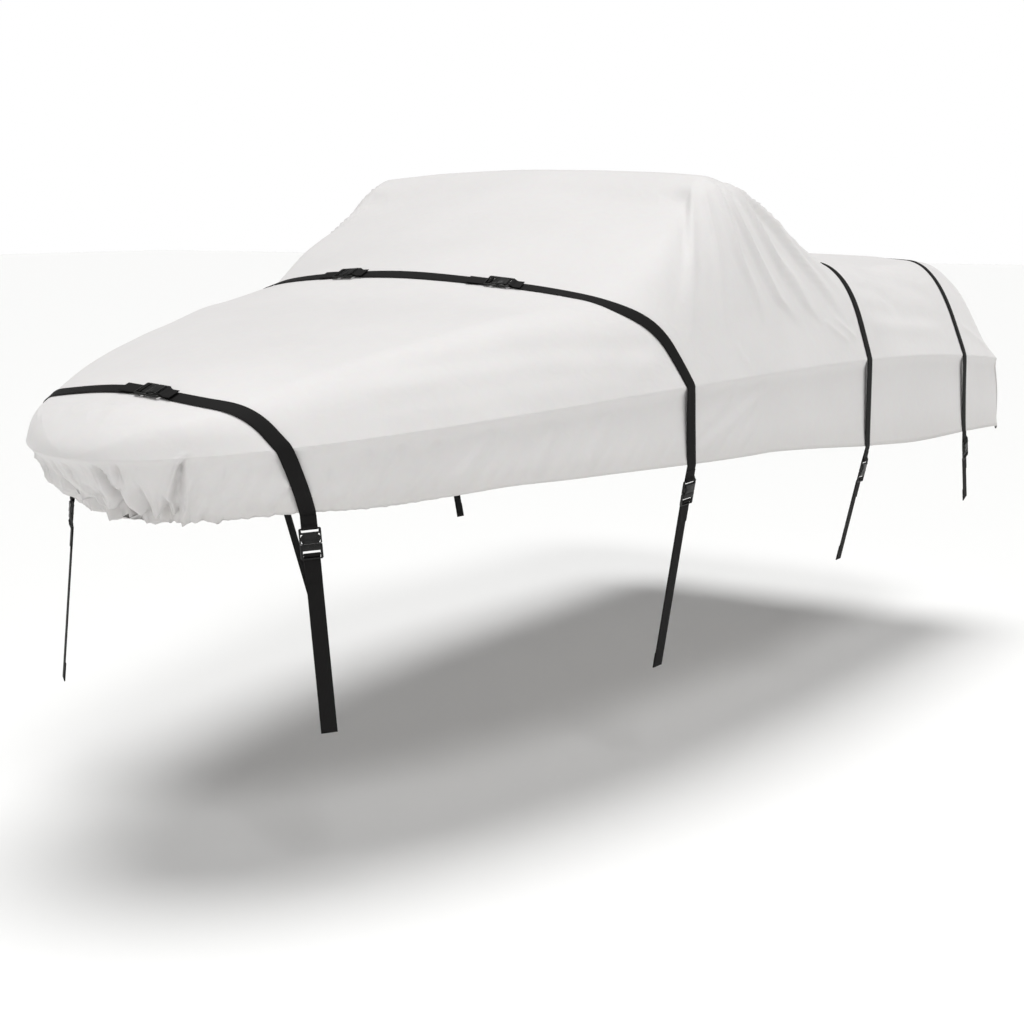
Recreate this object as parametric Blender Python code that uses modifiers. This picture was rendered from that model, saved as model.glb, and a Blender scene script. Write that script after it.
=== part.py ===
# Fitted trailering cover for a 17 ft runabout, with four over-the-top tie-down straps.
# Metres. +X runs aft, -Y is the port side, +Z is up. The origin lies under the cloth at the
# windshield peak, where the cover is held up. Stations are measured aft from the bow tip.

import bpy
import bmesh
import numpy as np
from collections import namedtuple
from math import pi, cos, sin
from mathutils import Matrix, Vector

# ---- driving dimensions of the cloth --------------------------------------------------------
LENGTH = 5.14            # bow tip to stern edge
BEAM = 2.16              # greatest width at the rail
FULL_BEAM_SHARE = 0.654  # the plan reaches full beam at this share of the length
PLAN_FULLNESS = 1.976    # powers of the plan curve: how full, and how blunt at the tip
PLAN_BLUNTNESS = 2.209
STERN_TAPER = 0.05       # share of beam lost towards the stern
CLOTH = 0.0025           # coated polyester with its seams and hem, as one sheet
NOSE_LENGTH = 0.15       # the deck rises to its full section over this length at the bow
STERN_FLARE = 0.060      # the stern wall stands this far aft of the stern edge at its middle
STERN_BELLY, STERN_HEM = 1.6, 0.6      # shares of that flare at the wall's belly and hem
CORNER_FLARE_LOSS = 0.2  # share of the flare that the stern's corners lack
BELLY_DEPTH = 0.52       # the skirt and stern wall belly out at this share of their drop
BELLY_TUCK = 0.15        # share of the hem's tuck that the belly has
CORNER_SIDE, CORNER_TOP = 0.61, 0.156  # shares of side and top taken up by the shoulder's round
SIDE_END, CORNER_END = 1 / 3, 2 / 3    # where the round starts and ends along the girth
ROW_BOW_POWER = 3.5      # how the rows of the cloth bow forward towards the centreline
MOUNT_STATION = 2.42     # the peak that the cover hangs on
MOUNT_AIR = 0.001        # the origin lies this far under the cloth's inner face there

# One row for each section. Heights in metres: the rail's from the ground, the others from the rail.
SECTION_COLUMNS = ("station", "rail", "share", "shoulder", "crown", "drop", "tuck", "lean", "lead")
SECTIONS = np.array([
    # station rail shoulder's  shoulder crown   skirt  hem     hem    rows bow
    #        height share/beam rise     rise    drop   tuck    lean   forward by
    (0.000, 1.364, 0.80,      0.063,   0.094,  0.238, 0.360,  0.000, 0.000),
    (0.150, 1.375, 0.908,     0.087,   0.139,  0.230, 0.242,  0.044, 0.053),
    (0.353, 1.389, 0.87,      0.126,   0.198,  0.210, 0.089,  0.085, 0.116),
    (0.700, 1.410, 0.843,     0.203,   0.252,  0.229, 0.063,  0.070, 0.198),
    (1.000, 1.427, 0.836,     0.237,   0.284,  0.221, 0.000,  0.045, 0.256),
    (1.350, 1.443, 0.865,     0.277,   0.323,  0.240, -0.003, 0.030, 0.317),
    (1.730, 1.458, 0.898,     0.264,   0.458,  0.263, -0.005, 0.010, 0.376),
    (2.050, 1.466, 0.875,     0.441,   0.555,  0.281, -0.005, 0.000, 0.405),
    (2.320, 1.471, 0.851,     0.567,   0.658,  0.293, -0.005, 0.000, 0.403),
    (2.520, 1.474, 0.813,     0.714,   0.755,  0.301, 0.000,  0.000, 0.260),
    (2.800, 1.474, 0.79,      0.664,   0.715,  0.320, 0.000,  0.000, 0.130),
    (3.100, 1.471, 0.85,      0.500,   0.526,  0.343, 0.000,  0.000, 0.040),
    (3.370, 1.466, 0.89,      0.385,   0.424,  0.362, 0.000,  0.000, 0.000),
    (4.000, 1.441, 0.84,      0.370,   0.405,  0.384, 0.000,  0.000, 0.000),
    (4.600, 1.400, 0.845,     0.425,   0.459,  0.363, -0.010, 0.000, 0.000),
    (4.800, 1.383, 0.80,      0.434,   0.464,  0.355, -0.012, 0.000, 0.000),
    (4.950, 1.368, 0.79,      0.440,   0.475,  0.347, -0.015, 0.000, 0.000),
    (5.140, 1.348, 0.83,      0.188,   0.214,  0.338, -0.020, 0.000, 0.000),
])

# One row for each main fold. Girth is -1 at the hem, 0 at the rail and 1 at the centreline.
# A fold runs from one (station, girth) to another, on the port, starboard or both sides.
Fold = namedtuple("Fold", "side station0 girth0 station1 girth1 width height")
FOLDS = tuple(Fold(*row) for row in (
    # the pulls that fan out from the top corners of the windshield
    ("both", 2.60, 0.47, 2.06, 0.00, 0.060, 0.012),
    ("both", 2.62, 0.47, 2.30, 0.02, 0.050, -0.010),
    ("both", 2.66, 0.46, 2.62, 0.03, 0.050, 0.011),
    ("both", 2.70, 0.46, 2.88, 0.05, 0.055, -0.012),
    ("both", 2.72, 0.47, 3.08, 0.12, 0.055, 0.012),
    ("both", 2.74, 0.50, 3.26, 0.30, 0.060, -0.010),
    # the gathers that the hem draws in under the bow
    ("port", 0.004, -0.25, 0.010, -1.00, 0.032, -0.020),
    ("port", 0.040, -0.15, 0.030, -1.00, 0.030, -0.022),
    ("port", 0.085, -0.20, 0.070, -1.00, 0.032, -0.018),
    ("port", 0.150, -0.15, 0.125, -1.00, 0.034, -0.020),
    ("port", 0.235, -0.25, 0.190, -1.00, 0.036, -0.014),
    ("starboard", 0.022, -0.15, 0.016, -1.00, 0.032, -0.022),
    ("starboard", 0.065, -0.20, 0.050, -1.00, 0.030, -0.020),
    ("starboard", 0.125, -0.15, 0.100, -1.00, 0.034, -0.018),
    ("starboard", 0.200, -0.20, 0.165, -1.00, 0.036, -0.016),
    # soft diagonals that the hem's cord pulls in the skirt
    ("both", 0.62, -0.95, 0.86, -0.15, 0.050, 0.006),
    ("both", 0.98, -0.95, 1.26, -0.15, 0.060, -0.006),
    ("both", 1.42, -0.95, 1.70, -0.15, 0.060, 0.006),
    ("both", 2.30, -0.95, 2.56, -0.20, 0.070, -0.005),
))
FOLD_POINTS = 25         # points along each fold's line
FOLD_ENDS = 4            # a fold fades in and out over this share's inverse of its length
FOLD_START, FOLD_FINISH = 0.35, 0.5    # how much of a fold stands at its two ends

# ---- straps ---------------------------------------------------------------------------------
WEB_WIDTH, WEB_THICK = 0.050, 0.002
ON_CLOTH = 0.0005        # air between webbing and cloth
SEAT = 0.0003            # air between webbing and the bar it turns round
SEWN_BACK = 0.036        # webbing turned back and sewn at a loop
LOOP_ENTRY = 0.002       # webbing runs level from this far outside a buckle's end
LOOP_CLOSED = 0.014      # a sewn loop's return has come down onto the webbing this far outside
TAIL_ENTRY = 0.004       # the loose end is level from this far outside the adjuster
SLACK = 0.0002           # a little more air where layers meet at a slant
TURN_SHARE = 0.7         # webbing's distance out at the middle of a square turn, as a share
TAIL = 0.070             # loose end past the adjuster bar
FOOT_FOLD = 0.060        # webbing doubled at the lower end
FREE_STEPS = 8           # lengths in a strap's hanging run

# One row for each strap: where it crosses the rail, how far its side buckle's middle hangs
# below the hem, and where its lower end is: station, distance off the centreline, height.
# Its top buckles' middles lie at girths of the cloth, with a minus on the port side.
Strap = namedtuple("Strap", "name station buckle_drop foot_station foot_off foot_height tops")
STRAPS = tuple(Strap(*row) for row in (
    ("bow", 0.346, 0.090, 0.455, 0.575, 0.520, (-0.886,)),
    ("deck", 1.967, 0.104, 2.075, 0.815, 0.410, (-0.793, 0.898)),
    ("cockpit", 3.370, 0.105, 3.360, 0.975, 0.620, ()),
    ("stern", 4.600, 0.092, 4.740, 1.035, 0.700, ()),
))

# ---- side-release buckle, for 50 mm webbing -------------------------------------------------
BUCKLE_LENGTH, BUCKLE_WIDTH = 0.095, 0.068
PLATE_THICK, BODY_THICK = 0.006, 0.012
BAR = 0.004              # width of each cross bar
SLOT_WIDTH = 0.053       # clear width for the webbing
SLOT_LENGTH = 0.009      # clear length of each slot
WAIST = 0.040            # width of the body at its waist
WAIST_FLARE = 0.0085     # how much wider each side of the body is at its ends
PRONG_RAIL = 0.0045      # the thin rail outside each side window
WINDOW_INSET = 0.006     # the side windows stop this far short of the body's ends
PLATE_CHAMFER = 0.004    # at the plate's corners
BODY_SINK = 0.002        # the body stands out this far below the plate, and more above it
SLOT_EASE = 0.0004       # the slots differ this much in width, as moulded
BODY_SHY = 0.001         # the body stops this far short of the slots' and windows' edges
BUCKLE_LIFT = 0.0066     # a top buckle's underside stands this far off the cloth

# ---- drawcord -------------------------------------------------------------------------------
CORD_RADIUS = 0.0025
CORD_LOOP = 0.030        # width of the bight that shows under the stern corner
CORD_SAG = 0.012
CORD_FROM_CORNER = 0.012 # the bight starts this far from the hem's corner
CORD_AIR = 0.0010        # between the middles of the bight's ends and the hem

ROWS, SIDE_STEPS, CORNER_STEPS, TOP_STEPS, SKIRT_STEPS = 46, 4, 4, 4, 4
ROW_CROWDING = 1.5       # rows are closer together towards the bow


def smooth(station, column):
    # monotone cubic through the named column of SECTIONS, so no bump appears between rows
    xs = SECTIONS[:, 0]
    ys = SECTIONS[:, SECTION_COLUMNS.index(column)]
    width = np.diff(xs)
    slope = np.diff(ys) / width
    tangent = np.concatenate([[slope[0]], np.zeros(len(xs) - 2), [slope[-1]]])
    for k in range(1, len(xs) - 1):
        if slope[k - 1] * slope[k] > 0:
            before, after = 2 * width[k] + width[k - 1], width[k] + 2 * width[k - 1]
            tangent[k] = (before + after) / (before / slope[k - 1] + after / slope[k])
    x = min(max(station, xs[0]), xs[-1])
    k = min(max(int(np.searchsorted(xs, x)) - 1, 0), len(xs) - 2)
    t = (x - xs[k]) / width[k]
    return (ys[k] * (1 + 2 * t) * (1 - t) ** 2 + tangent[k] * width[k] * t * (1 - t) ** 2
            + ys[k + 1] * t * t * (3 - 2 * t) + tangent[k + 1] * width[k] * t * t * (t - 1))


def half_beam(station):
    t = min(max(station / (FULL_BEAM_SHARE * LENGTH), 0), 1)
    taper = 1 - STERN_TAPER * max((station / LENGTH - 0.6) / 0.4, 0) ** 2
    return BEAM / 2 * (1 - (1 - t) ** PLAN_FULLNESS) ** (1 / PLAN_BLUNTNESS) * taper


def deck_section(station, girth):
    # (distance off the centreline, height) of the cloth above the rail
    half, rail = half_beam(station), smooth(station, "rail")
    inside = 1 - min(station / NOSE_LENGTH, 1)
    nose = (1 - inside ** 2) ** 0.5
    shoulder = np.array([half * smooth(station, "share"), rail + nose * smooth(station, "shoulder")])
    crown = rail + nose * smooth(station, "crown")
    edge = np.array([half, rail])
    side_top = shoulder + (edge - shoulder) * CORNER_SIDE

    def top(off):
        return np.array([off, crown - (crown - shoulder[1]) * (off / shoulder[0]) ** 2])

    top_start = top(shoulder[0] * (1 - CORNER_TOP))
    if girth < SIDE_END:
        return edge + (side_top - edge) * girth / SIDE_END
    if girth < CORNER_END:
        t = (girth - SIDE_END) / (CORNER_END - SIDE_END)
        return side_top * (1 - t) ** 2 + shoulder * 2 * t * (1 - t) + top_start * t * t
    return top(top_start[0] * (1 - (girth - CORNER_END) / (1 - CORNER_END)))


def row_station(rail_station, girth):
    # a row of the cloth meets the rail at rail_station and bows forward towards the centreline
    across = deck_section(rail_station, girth)[0] / half_beam(rail_station)
    return rail_station - smooth(rail_station, "lead") * (1 - across ** ROW_BOW_POWER)


def deck_point(station, girth, side):
    off, height = deck_section(station, girth)
    return np.array([station, side * off, height])


def plan_normal(station, side):
    # outward direction of the rail in plan
    step = 0.002
    ahead, behind = half_beam(min(station + step, LENGTH)), half_beam(max(station - step, 0))
    slope = (ahead - behind) / (2 * step)
    normal = np.array([-slope, side, 0.0])
    return normal / np.linalg.norm(normal)


def skirt_point(station, side, depth):
    # depth runs from 0 at the rail to 1 at the hem. The skirt bellies out, then tucks under
    lean = min(station + smooth(station, "lean") * depth, LENGTH)
    top = deck_point(lean, 0, side)
    drop, tuck = smooth(lean, "drop"), smooth(lean, "tuck")
    outward = plan_normal(lean, side)
    return sagging(top, -outward * tuck * BELLY_TUCK, -outward * tuck, drop, depth)


def sagging(top, belly, hem, drop, depth):
    # a curve from the rail down to the hem, pulled towards a point beside its middle
    belly = top + belly - np.array([0, 0, drop * BELLY_DEPTH])
    hem = top + hem - np.array([0, 0, drop])
    return top * (1 - depth) ** 2 + belly * 2 * depth * (1 - depth) + hem * depth ** 2


def stern_point(top, off_share, depth):
    # the wall round the stern: it swells aft by STERN_FLARE, least at its rounded corners
    drop = smooth(LENGTH, "drop") + top[2] - smooth(LENGTH, "rail")
    aft = np.array([STERN_FLARE * (1 - CORNER_FLARE_LOSS * abs(off_share) ** 6), 0, 0])
    return sagging(top, aft * STERN_BELLY, aft * STERN_HEM, drop, depth)


def bow_point(depth):
    # the stem line at the tip, from the rail down to the hem
    tip = np.array([0, 0, smooth(0, "rail")])
    tuck = np.array([smooth(0, "tuck"), 0, 0])
    return sagging(tip, tuck * BELLY_TUCK, tuck, smooth(0, "drop"), depth)


def cover_point(station, girth, side):
    if girth >= 0:
        return deck_point(station, girth, side)
    return skirt_point(station, side, -girth)


def fold_offset(points):
    # height of the folds at each point, as the sum of soft ridges and troughs along their lines
    total = np.zeros(len(points))
    for fold in FOLDS:
        stations = np.linspace(fold.station0, fold.station1, FOLD_POINTS)
        girths_along = np.linspace(fold.girth0, fold.girth1, FOLD_POINTS)
        for sign in {"port": (-1,), "starboard": (1,), "both": (-1, 1)}[fold.side]:
            line = np.array([cover_point(s, g, sign) for s, g in zip(stations, girths_along)])
            away = np.linalg.norm(points[:, None] - line[None], axis=2)
            along = away.argmin(axis=1) / (FOLD_POINTS - 1)
            start = np.clip(FOLD_ENDS * along, FOLD_START, 1)
            finish = np.clip(FOLD_ENDS * (1 - along) + FOLD_FINISH, 0, 1)
            total += fold.height * start * finish * np.exp(-(away.min(axis=1) / fold.width) ** 2)
    return total


def girths():
    side = np.linspace(0, SIDE_END, SIDE_STEPS, endpoint=False)
    corner = np.linspace(SIDE_END, CORNER_END, CORNER_STEPS, endpoint=False)
    return np.concatenate([side, corner, np.linspace(CORNER_END, 1, TOP_STEPS + 1)])


def strap_rows(rail_station):
    # stations of the strap's two edges at each girth, square to its run, so its width is true
    path = np.array([row_station(rail_station, g) for g in girths()])
    section = np.array([deck_section(rail_station, g) for g in girths()])
    run = np.concatenate([[0], np.cumsum(np.linalg.norm(np.diff(section, axis=0), axis=1))])
    half = WEB_WIDTH / 2 * np.sqrt(1 + np.gradient(path, run) ** 2)
    return path - half, path + half


def row_table():
    # every row as the stations of its columns, with the rows that the straps' edges lie on
    spaced = LENGTH * (np.arange(1, ROWS + 1) / ROWS) ** ROW_CROWDING
    rows, edges = [], {}
    for strap in STRAPS:
        fore, aft = strap_rows(strap.station)
        edges[strap.name] = (fore, aft)
        rows += [fore, aft]
        spaced = [s for s in spaced if abs(s - strap.station) > WEB_WIDTH]
    rows += [np.array([row_station(s, g) for g in girths()]) for s in spaced]
    rows.sort(key=lambda row: row[0])
    rows[-1][:] = LENGTH
    places = {name: tuple(next(i for i, row in enumerate(rows) if row is edge) for edge in pair)
              for name, pair in edges.items()}
    return rows, places


def centre_height(station):
    # height of the cloth's facets on the centreline
    stations = [row[-1] for row in row_table()[0]]
    return np.interp(station, stations, [deck_section(s, 1)[1] for s in stations])


def cover_grid():
    # deck points as rows x columns from port rail to starboard rail, then the skirt's rings
    rows, places = row_table()
    columns = girths()
    deck = np.array([
        [deck_point(s, g, -1) for s, g in zip(row, columns)]
        + [deck_point(s, g, 1) for s, g in zip(row[-2::-1], columns[-2::-1])]
        for row in rows])
    depths = np.linspace(0, 1, SKIRT_STEPS + 1)[1:]
    port, starboard = (np.array([[skirt_point(row[0], side, depth) for row in rows] for depth in depths])
                       for side in (-1, 1))
    tip = bow_point(0)
    bow = np.array([bow_point(depth) for depth in depths])
    stern_edge = deck[-1]
    shares = stern_edge[:, 1] / half_beam(LENGTH)
    stern = np.array([[stern_point(p, share, depth) for p, share in zip(stern_edge, shares)]
                      for depth in depths])
    for ring, k in ((port, 0), (starboard, -1)):   # the corner columns take the mean of both walls
        stern[:, k] = (stern[:, k] + ring[:, -1]) / 2
        ring[:, -1] = stern[:, k]
    return deck, port, starboard, bow, tip, stern, places


def clear_scene():
    for old in list(bpy.data.objects):
        bpy.data.objects.remove(old, do_unlink=True)


def collection(name):
    made = bpy.data.collections.new(name)
    bpy.context.scene.collection.children.link(made)
    return made


def material(name, colour, roughness, metallic=0.0):
    made = bpy.data.materials.new(name)
    made.use_nodes = True
    shader = made.node_tree.nodes["Principled BSDF"]
    shader.inputs["Base Color"].default_value = (*colour, 1)
    shader.inputs["Roughness"].default_value = roughness
    shader.inputs["Metallic"].default_value = metallic
    return made


def add_object(name, mesh, into, surface):
    made = bpy.data.objects.new(name, mesh)
    mesh.materials.clear()
    mesh.materials.append(surface)
    into.objects.link(made)
    return made


def build_cover(into, surface, mount):
    deck, port, starboard, bow, tip, stern, places = cover_grid()
    count, across = deck.shape[:2]
    points, index = [], {}

    def key(kind, i, j):
        return index[(kind, i, j)]

    def add(kind, i, j, where):
        index[(kind, i, j)] = len(points)
        points.append(where)

    add("tip", 0, 0, tip)
    for i in range(count):
        for j in range(across):
            add("deck", i, j, deck[i, j])
    for d in range(SKIRT_STEPS):
        add("bow", d, 0, bow[d])
        for i in range(count):
            add("port", d, i, port[d, i])
            add("starboard", d, i, starboard[d, i])
        for j in range(1, across - 1):
            add("stern", d, j, stern[d, j])

    # the ring of columns round the cover: port side aft to bow, starboard bow to aft, stern
    def ring(d):
        if d < 0:
            sides = [key("deck", i, 0) for i in reversed(range(count))]
            sides += [key("tip", 0, 0)] + [key("deck", i, across - 1) for i in range(count)]
            return sides + [key("deck", count - 1, j) for j in reversed(range(1, across - 1))]
        sides = [key("port", d, i) for i in reversed(range(count))] + [key("bow", d, 0)]
        sides += [key("starboard", d, i) for i in range(count)]
        return sides + [key("stern", d, j) for j in reversed(range(1, across - 1))]

    # the two sides' facets mirror each other, but those under a strap all run one way, as its own do
    faces = [(key("tip", 0, 0), key("deck", 0, j), key("deck", 0, j + 1)) for j in range(across - 1)]
    under_strap = {fore for fore, aft in places.values()}
    for i in range(count - 1):
        for j in range(across - 1):
            a, b = key("deck", i, j), key("deck", i + 1, j)
            c, d = key("deck", i + 1, j + 1), key("deck", i, j + 1)
            mirrored = j >= across // 2 and i not in under_strap
            faces += [(a, b, d), (b, c, d)] if mirrored else [(a, b, c), (a, c, d)]
    for d in range(-1, SKIRT_STEPS - 1):
        upper, lower = ring(d), ring(d + 1)
        for k in range(len(upper)):
            n = (k + 1) % len(upper)
            faces += [(upper[k], upper[n], lower[n]), (upper[k], lower[n], lower[k])]

    points = np.array(points)
    smooth_mesh = bpy.data.meshes.new("cover")
    smooth_mesh.from_pydata([Vector(p - mount) for p in points], [], faces)
    sheet = bmesh.new()
    sheet.from_mesh(smooth_mesh)
    bmesh.ops.recalc_face_normals(sheet, faces=sheet.faces)
    sheet.normal_update()
    sheet.verts.ensure_lookup_table()
    if sum(face.normal.z * face.calc_area() for face in sheet.faces) < 0:
        bmesh.ops.reverse_faces(sheet, faces=sheet.faces)
        sheet.normal_update()
    heights = fold_offset(points)
    for vertex, height in zip(sheet.verts, heights):
        vertex.co += vertex.normal * float(height)
    sheet.normal_update()
    outside = {name: (np.array(sheet.verts[i].co), np.array(sheet.verts[i].normal))
               for name, i in index.items()}
    sheet.to_mesh(smooth_mesh)
    sheet.free()
    cover = add_object("cover", smooth_mesh, into, surface)
    shell = cover.modifiers.new("cloth", "SOLIDIFY")
    shell.thickness = CLOTH
    shell.offset = -1
    shell.use_even_offset = True
    smooth_mesh.shade_smooth()
    return outside, places, across


def strip(name, rows, into, surface):
    # webbing through rows of (left edge, right edge, left normal, right normal)
    corners = []
    for left, right, left_up, right_up in rows:
        half = WEB_THICK / 2
        corners += [left - left_up * half, right - right_up * half,
                    right + right_up * half, left + left_up * half]
    faces = [(3, 2, 1, 0), tuple(len(corners) - 4 + k for k in range(4))]
    for r in range(len(rows) - 1):
        a = 4 * r
        for k in range(4):
            n = (k + 1) % 4
            p, q, s, t = a + k, a + n, a + 4 + n, a + 4 + k
            faces += [(p, q, s), (p, s, t)] if k == 2 else [(p, q, t), (q, s, t)]
    mesh = bpy.data.meshes.new(name)
    mesh.from_pydata([Vector(c) for c in corners], [], faces)
    closed = bmesh.new()
    closed.from_mesh(mesh)
    bmesh.ops.recalc_face_normals(closed, faces=closed.faces)
    closed.to_mesh(mesh)
    closed.free()
    mesh.shade_smooth()
    mesh.set_sharp_from_angle(angle=pi / 4)
    return add_object(name, mesh, into, surface)


def unit(vector):
    return vector / np.linalg.norm(vector)


class Place:
    # a buckle's own frame: u along the strap towards the adjuster, w across it, n outwards
    def __init__(self, centre, along, across, lift):
        self.u = unit(along)
        self.w = unit(across - self.u * (across @ self.u))
        self.n = np.cross(self.u, self.w)
        self.centre = centre + self.n * lift

    def row(self, u, n, turn):
        # turn is the angle that the webbing's outer face has turned through about w
        middle = self.centre + self.u * u + self.n * n
        up = self.n * cos(turn) - self.u * sin(turn)
        half = self.w * WEB_WIDTH / 2
        return (middle - half, middle + half, up, up)

    def matrix(self):
        turned = Matrix(np.column_stack([self.u, self.w, self.n]).tolist())
        return Matrix.Translation(Vector(self.centre)) @ turned.to_4x4()


CLEAR = SEAT + WEB_THICK / 2          # webbing's middle to the bar it turns round
LAYER = SEAT + WEB_THICK              # one layer of webbing over another
SEWN_BAR = BUCKLE_LENGTH / 2 - BAR    # inner side of the end bars
INNER_BAR = SEWN_BAR - SLOT_LENGTH    # outer side of the adjuster's bar


def sewn_loop(place):
    # webbing arrives from -u, passes under the end bar, turns round it and is sewn back on itself
    low, high = -CLEAR, PLATE_THICK + CLEAR
    inner, outer = -SEWN_BAR + CLEAR, -BUCKLE_LENGTH / 2
    diagonal = CLEAR * TURN_SHARE
    return [place.row(outer - LOOP_ENTRY, low, 0), place.row(-SEWN_BAR, low, 0),
            place.row(-SEWN_BAR + diagonal, -diagonal, pi / 4), place.row(inner, 0, pi / 2),
            place.row(inner, PLATE_THICK, pi / 2),
            place.row(-SEWN_BAR + diagonal, PLATE_THICK + diagonal, 3 * pi / 4),
            place.row(-SEWN_BAR, high, pi), place.row(outer - LOOP_ENTRY, high, pi),
            place.row(outer - LOOP_CLOSED, low + LAYER + SLACK, pi),
            place.row(outer - SEWN_BACK, low + LAYER, pi)]


def adjuster_loop(place):
    # webbing arrives from +u under both bars, turns round the inner one and leaves over itself
    main, low, high = -CLEAR - LAYER, -CLEAR, PLATE_THICK + CLEAR
    far, near = INNER_BAR - BAR, INNER_BAR
    diagonal = CLEAR * TURN_SHARE
    outer = BUCKLE_LENGTH / 2
    return [place.row(outer + TAIL, main, 0), place.row(SEWN_BAR, main, 0),
            place.row(near, low, 0), place.row(far, low, 0),
            place.row(far - diagonal, -diagonal, -pi / 4), place.row(far - CLEAR, 0, -pi / 2),
            place.row(far - CLEAR, PLATE_THICK, -pi / 2),
            place.row(far - diagonal, PLATE_THICK + diagonal, -3 * pi / 4),
            place.row(far, high, -pi), place.row(near, high, -pi),
            place.row(near + diagonal, PLATE_THICK + diagonal, -5 * pi / 4),
            place.row(near + CLEAR + SLACK, PLATE_THICK, -3 * pi / 2),
            place.row(near + CLEAR + SLACK, PLATE_THICK / 3, -3 * pi / 2),
            place.row(SEWN_BAR, low, -pi), place.row(outer + TAIL_ENTRY, low, -pi),
            place.row(outer + TAIL, low, -pi)]


def flat_curve(name, outlines, thick, into):
    # a flat plate from closed outlines, where inner ones are holes
    data = bpy.data.curves.new(name, "CURVE")
    data.dimensions = "2D"
    data.fill_mode = "BOTH"
    data.extrude = thick / 2
    for outline in outlines:
        spline = data.splines.new("POLY")
        spline.points.add(len(outline) - 1)
        for point, (x, y) in zip(spline.points, outline):
            point.co = (x, y, 0, 1)
        spline.use_cyclic_u = True
    made = bpy.data.objects.new(name, data)
    into.objects.link(made)
    return made


def rectangle(x0, x1, y0, y1):
    return [(x0, y0), (x1, y0), (x1, y1), (x0, y1)]


def as_mesh(curve, into):
    graph = bpy.context.evaluated_depsgraph_get()
    mesh = bpy.data.meshes.new_from_object(curve.evaluated_get(graph))
    made = bpy.data.objects.new(curve.name + "_mesh", mesh)
    made.matrix_world = curve.matrix_world.copy()
    into.objects.link(made)
    bpy.data.objects.remove(curve, do_unlink=True)
    welded = bmesh.new()
    welded.from_mesh(mesh)
    bmesh.ops.remove_doubles(welded, verts=welded.verts, dist=0.00001)
    bmesh.ops.recalc_face_normals(welded, faces=welded.faces)
    welded.to_mesh(mesh)
    welded.free()
    return made


def buckle_mesh(helpers):
    # the plate with its webbing slots and the windows over the prongs, and the waisted body
    half, long = BUCKLE_WIDTH / 2, BUCKLE_LENGTH / 2
    cut_x, cut_y = long - PLATE_CHAMFER, half - PLATE_CHAMFER
    outline = [(-long, cut_y), (-long, -cut_y), (-cut_x, -half), (cut_x, -half),
               (long, -cut_y), (long, cut_y), (cut_x, half), (-cut_x, half)]
    slot = SLOT_WIDTH / 2
    body_end = INNER_BAR - BAR - SLOT_LENGTH
    body_start = SLOT_LENGTH - SEWN_BAR
    window = (body_start + WINDOW_INSET, body_end - WINDOW_INSET)
    windows = [rectangle(*window, side * (WAIST / 2 + BODY_SHY), side * (half - PRONG_RAIL))
               for side in (-1, 1)]
    plate = flat_curve("buckle_plate", [
        outline,
        rectangle(-SEWN_BAR, body_start, -slot, slot),
        rectangle(body_end, INNER_BAR - BAR, -slot - SLOT_EASE, slot + SLOT_EASE),
        rectangle(INNER_BAR, SEWN_BAR, SLOT_EASE - slot, slot - SLOT_EASE), *windows],
        PLATE_THICK, helpers)
    plate.location.z = PLATE_THICK / 2
    start, end = body_start + BODY_SHY, body_end - BODY_SHY
    waist = [(start + (end - start) * t / pi, WAIST / 2 + WAIST_FLARE * (1 - sin(t)))
             for t in np.linspace(0, pi, 7)]
    body = flat_curve("buckle_body", [waist + [(x, -y) for x, y in reversed(waist)]], BODY_THICK, helpers)
    body.location.z = BODY_THICK / 2 - BODY_SINK
    bpy.context.view_layer.update()
    plate, body = as_mesh(plate, helpers), as_mesh(body, helpers)
    bpy.context.view_layer.update()
    joined = plate.modifiers.new("body", "BOOLEAN")
    joined.operation = "UNION"
    joined.object = body
    graph = bpy.context.evaluated_depsgraph_get()
    mesh = bpy.data.meshes.new_from_object(plate.evaluated_get(graph))
    mesh.transform(plate.matrix_world)
    for helper in (plate, body):
        bpy.data.objects.remove(helper, do_unlink=True)
    mesh.set_sharp_from_angle(angle=pi / 6)
    return mesh


def cloth_row(outside, kind, places, i, flip):
    # a strap's row on the cloth: its edges stand off the cloth's own points along their normals
    fore, aft = places
    keys = [(kind, fore, i), (kind, aft, i)] if kind == "deck" else [(kind, i, fore), (kind, i, aft)]
    (left, left_up), (right, right_up) = (outside[k] for k in (keys[::-1] if flip else keys))
    off = ON_CLOTH + WEB_THICK / 2
    return (left + left_up * off, right + right_up * off, left_up, right_up)


def middle(row):
    return (row[0] + row[1]) / 2


def swapped(rows):
    # the same rows with their left and right edges exchanged
    return [(right, left, right_up, left_up) for left, right, left_up, right_up in rows]


def hanging_run(start, end):
    # straight rows from one row to another, both included
    return [tuple(start[k] + (end[k] - start[k]) * t for k in range(4))
            for t in np.linspace(0, 1, FREE_STEPS + 1)]


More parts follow.
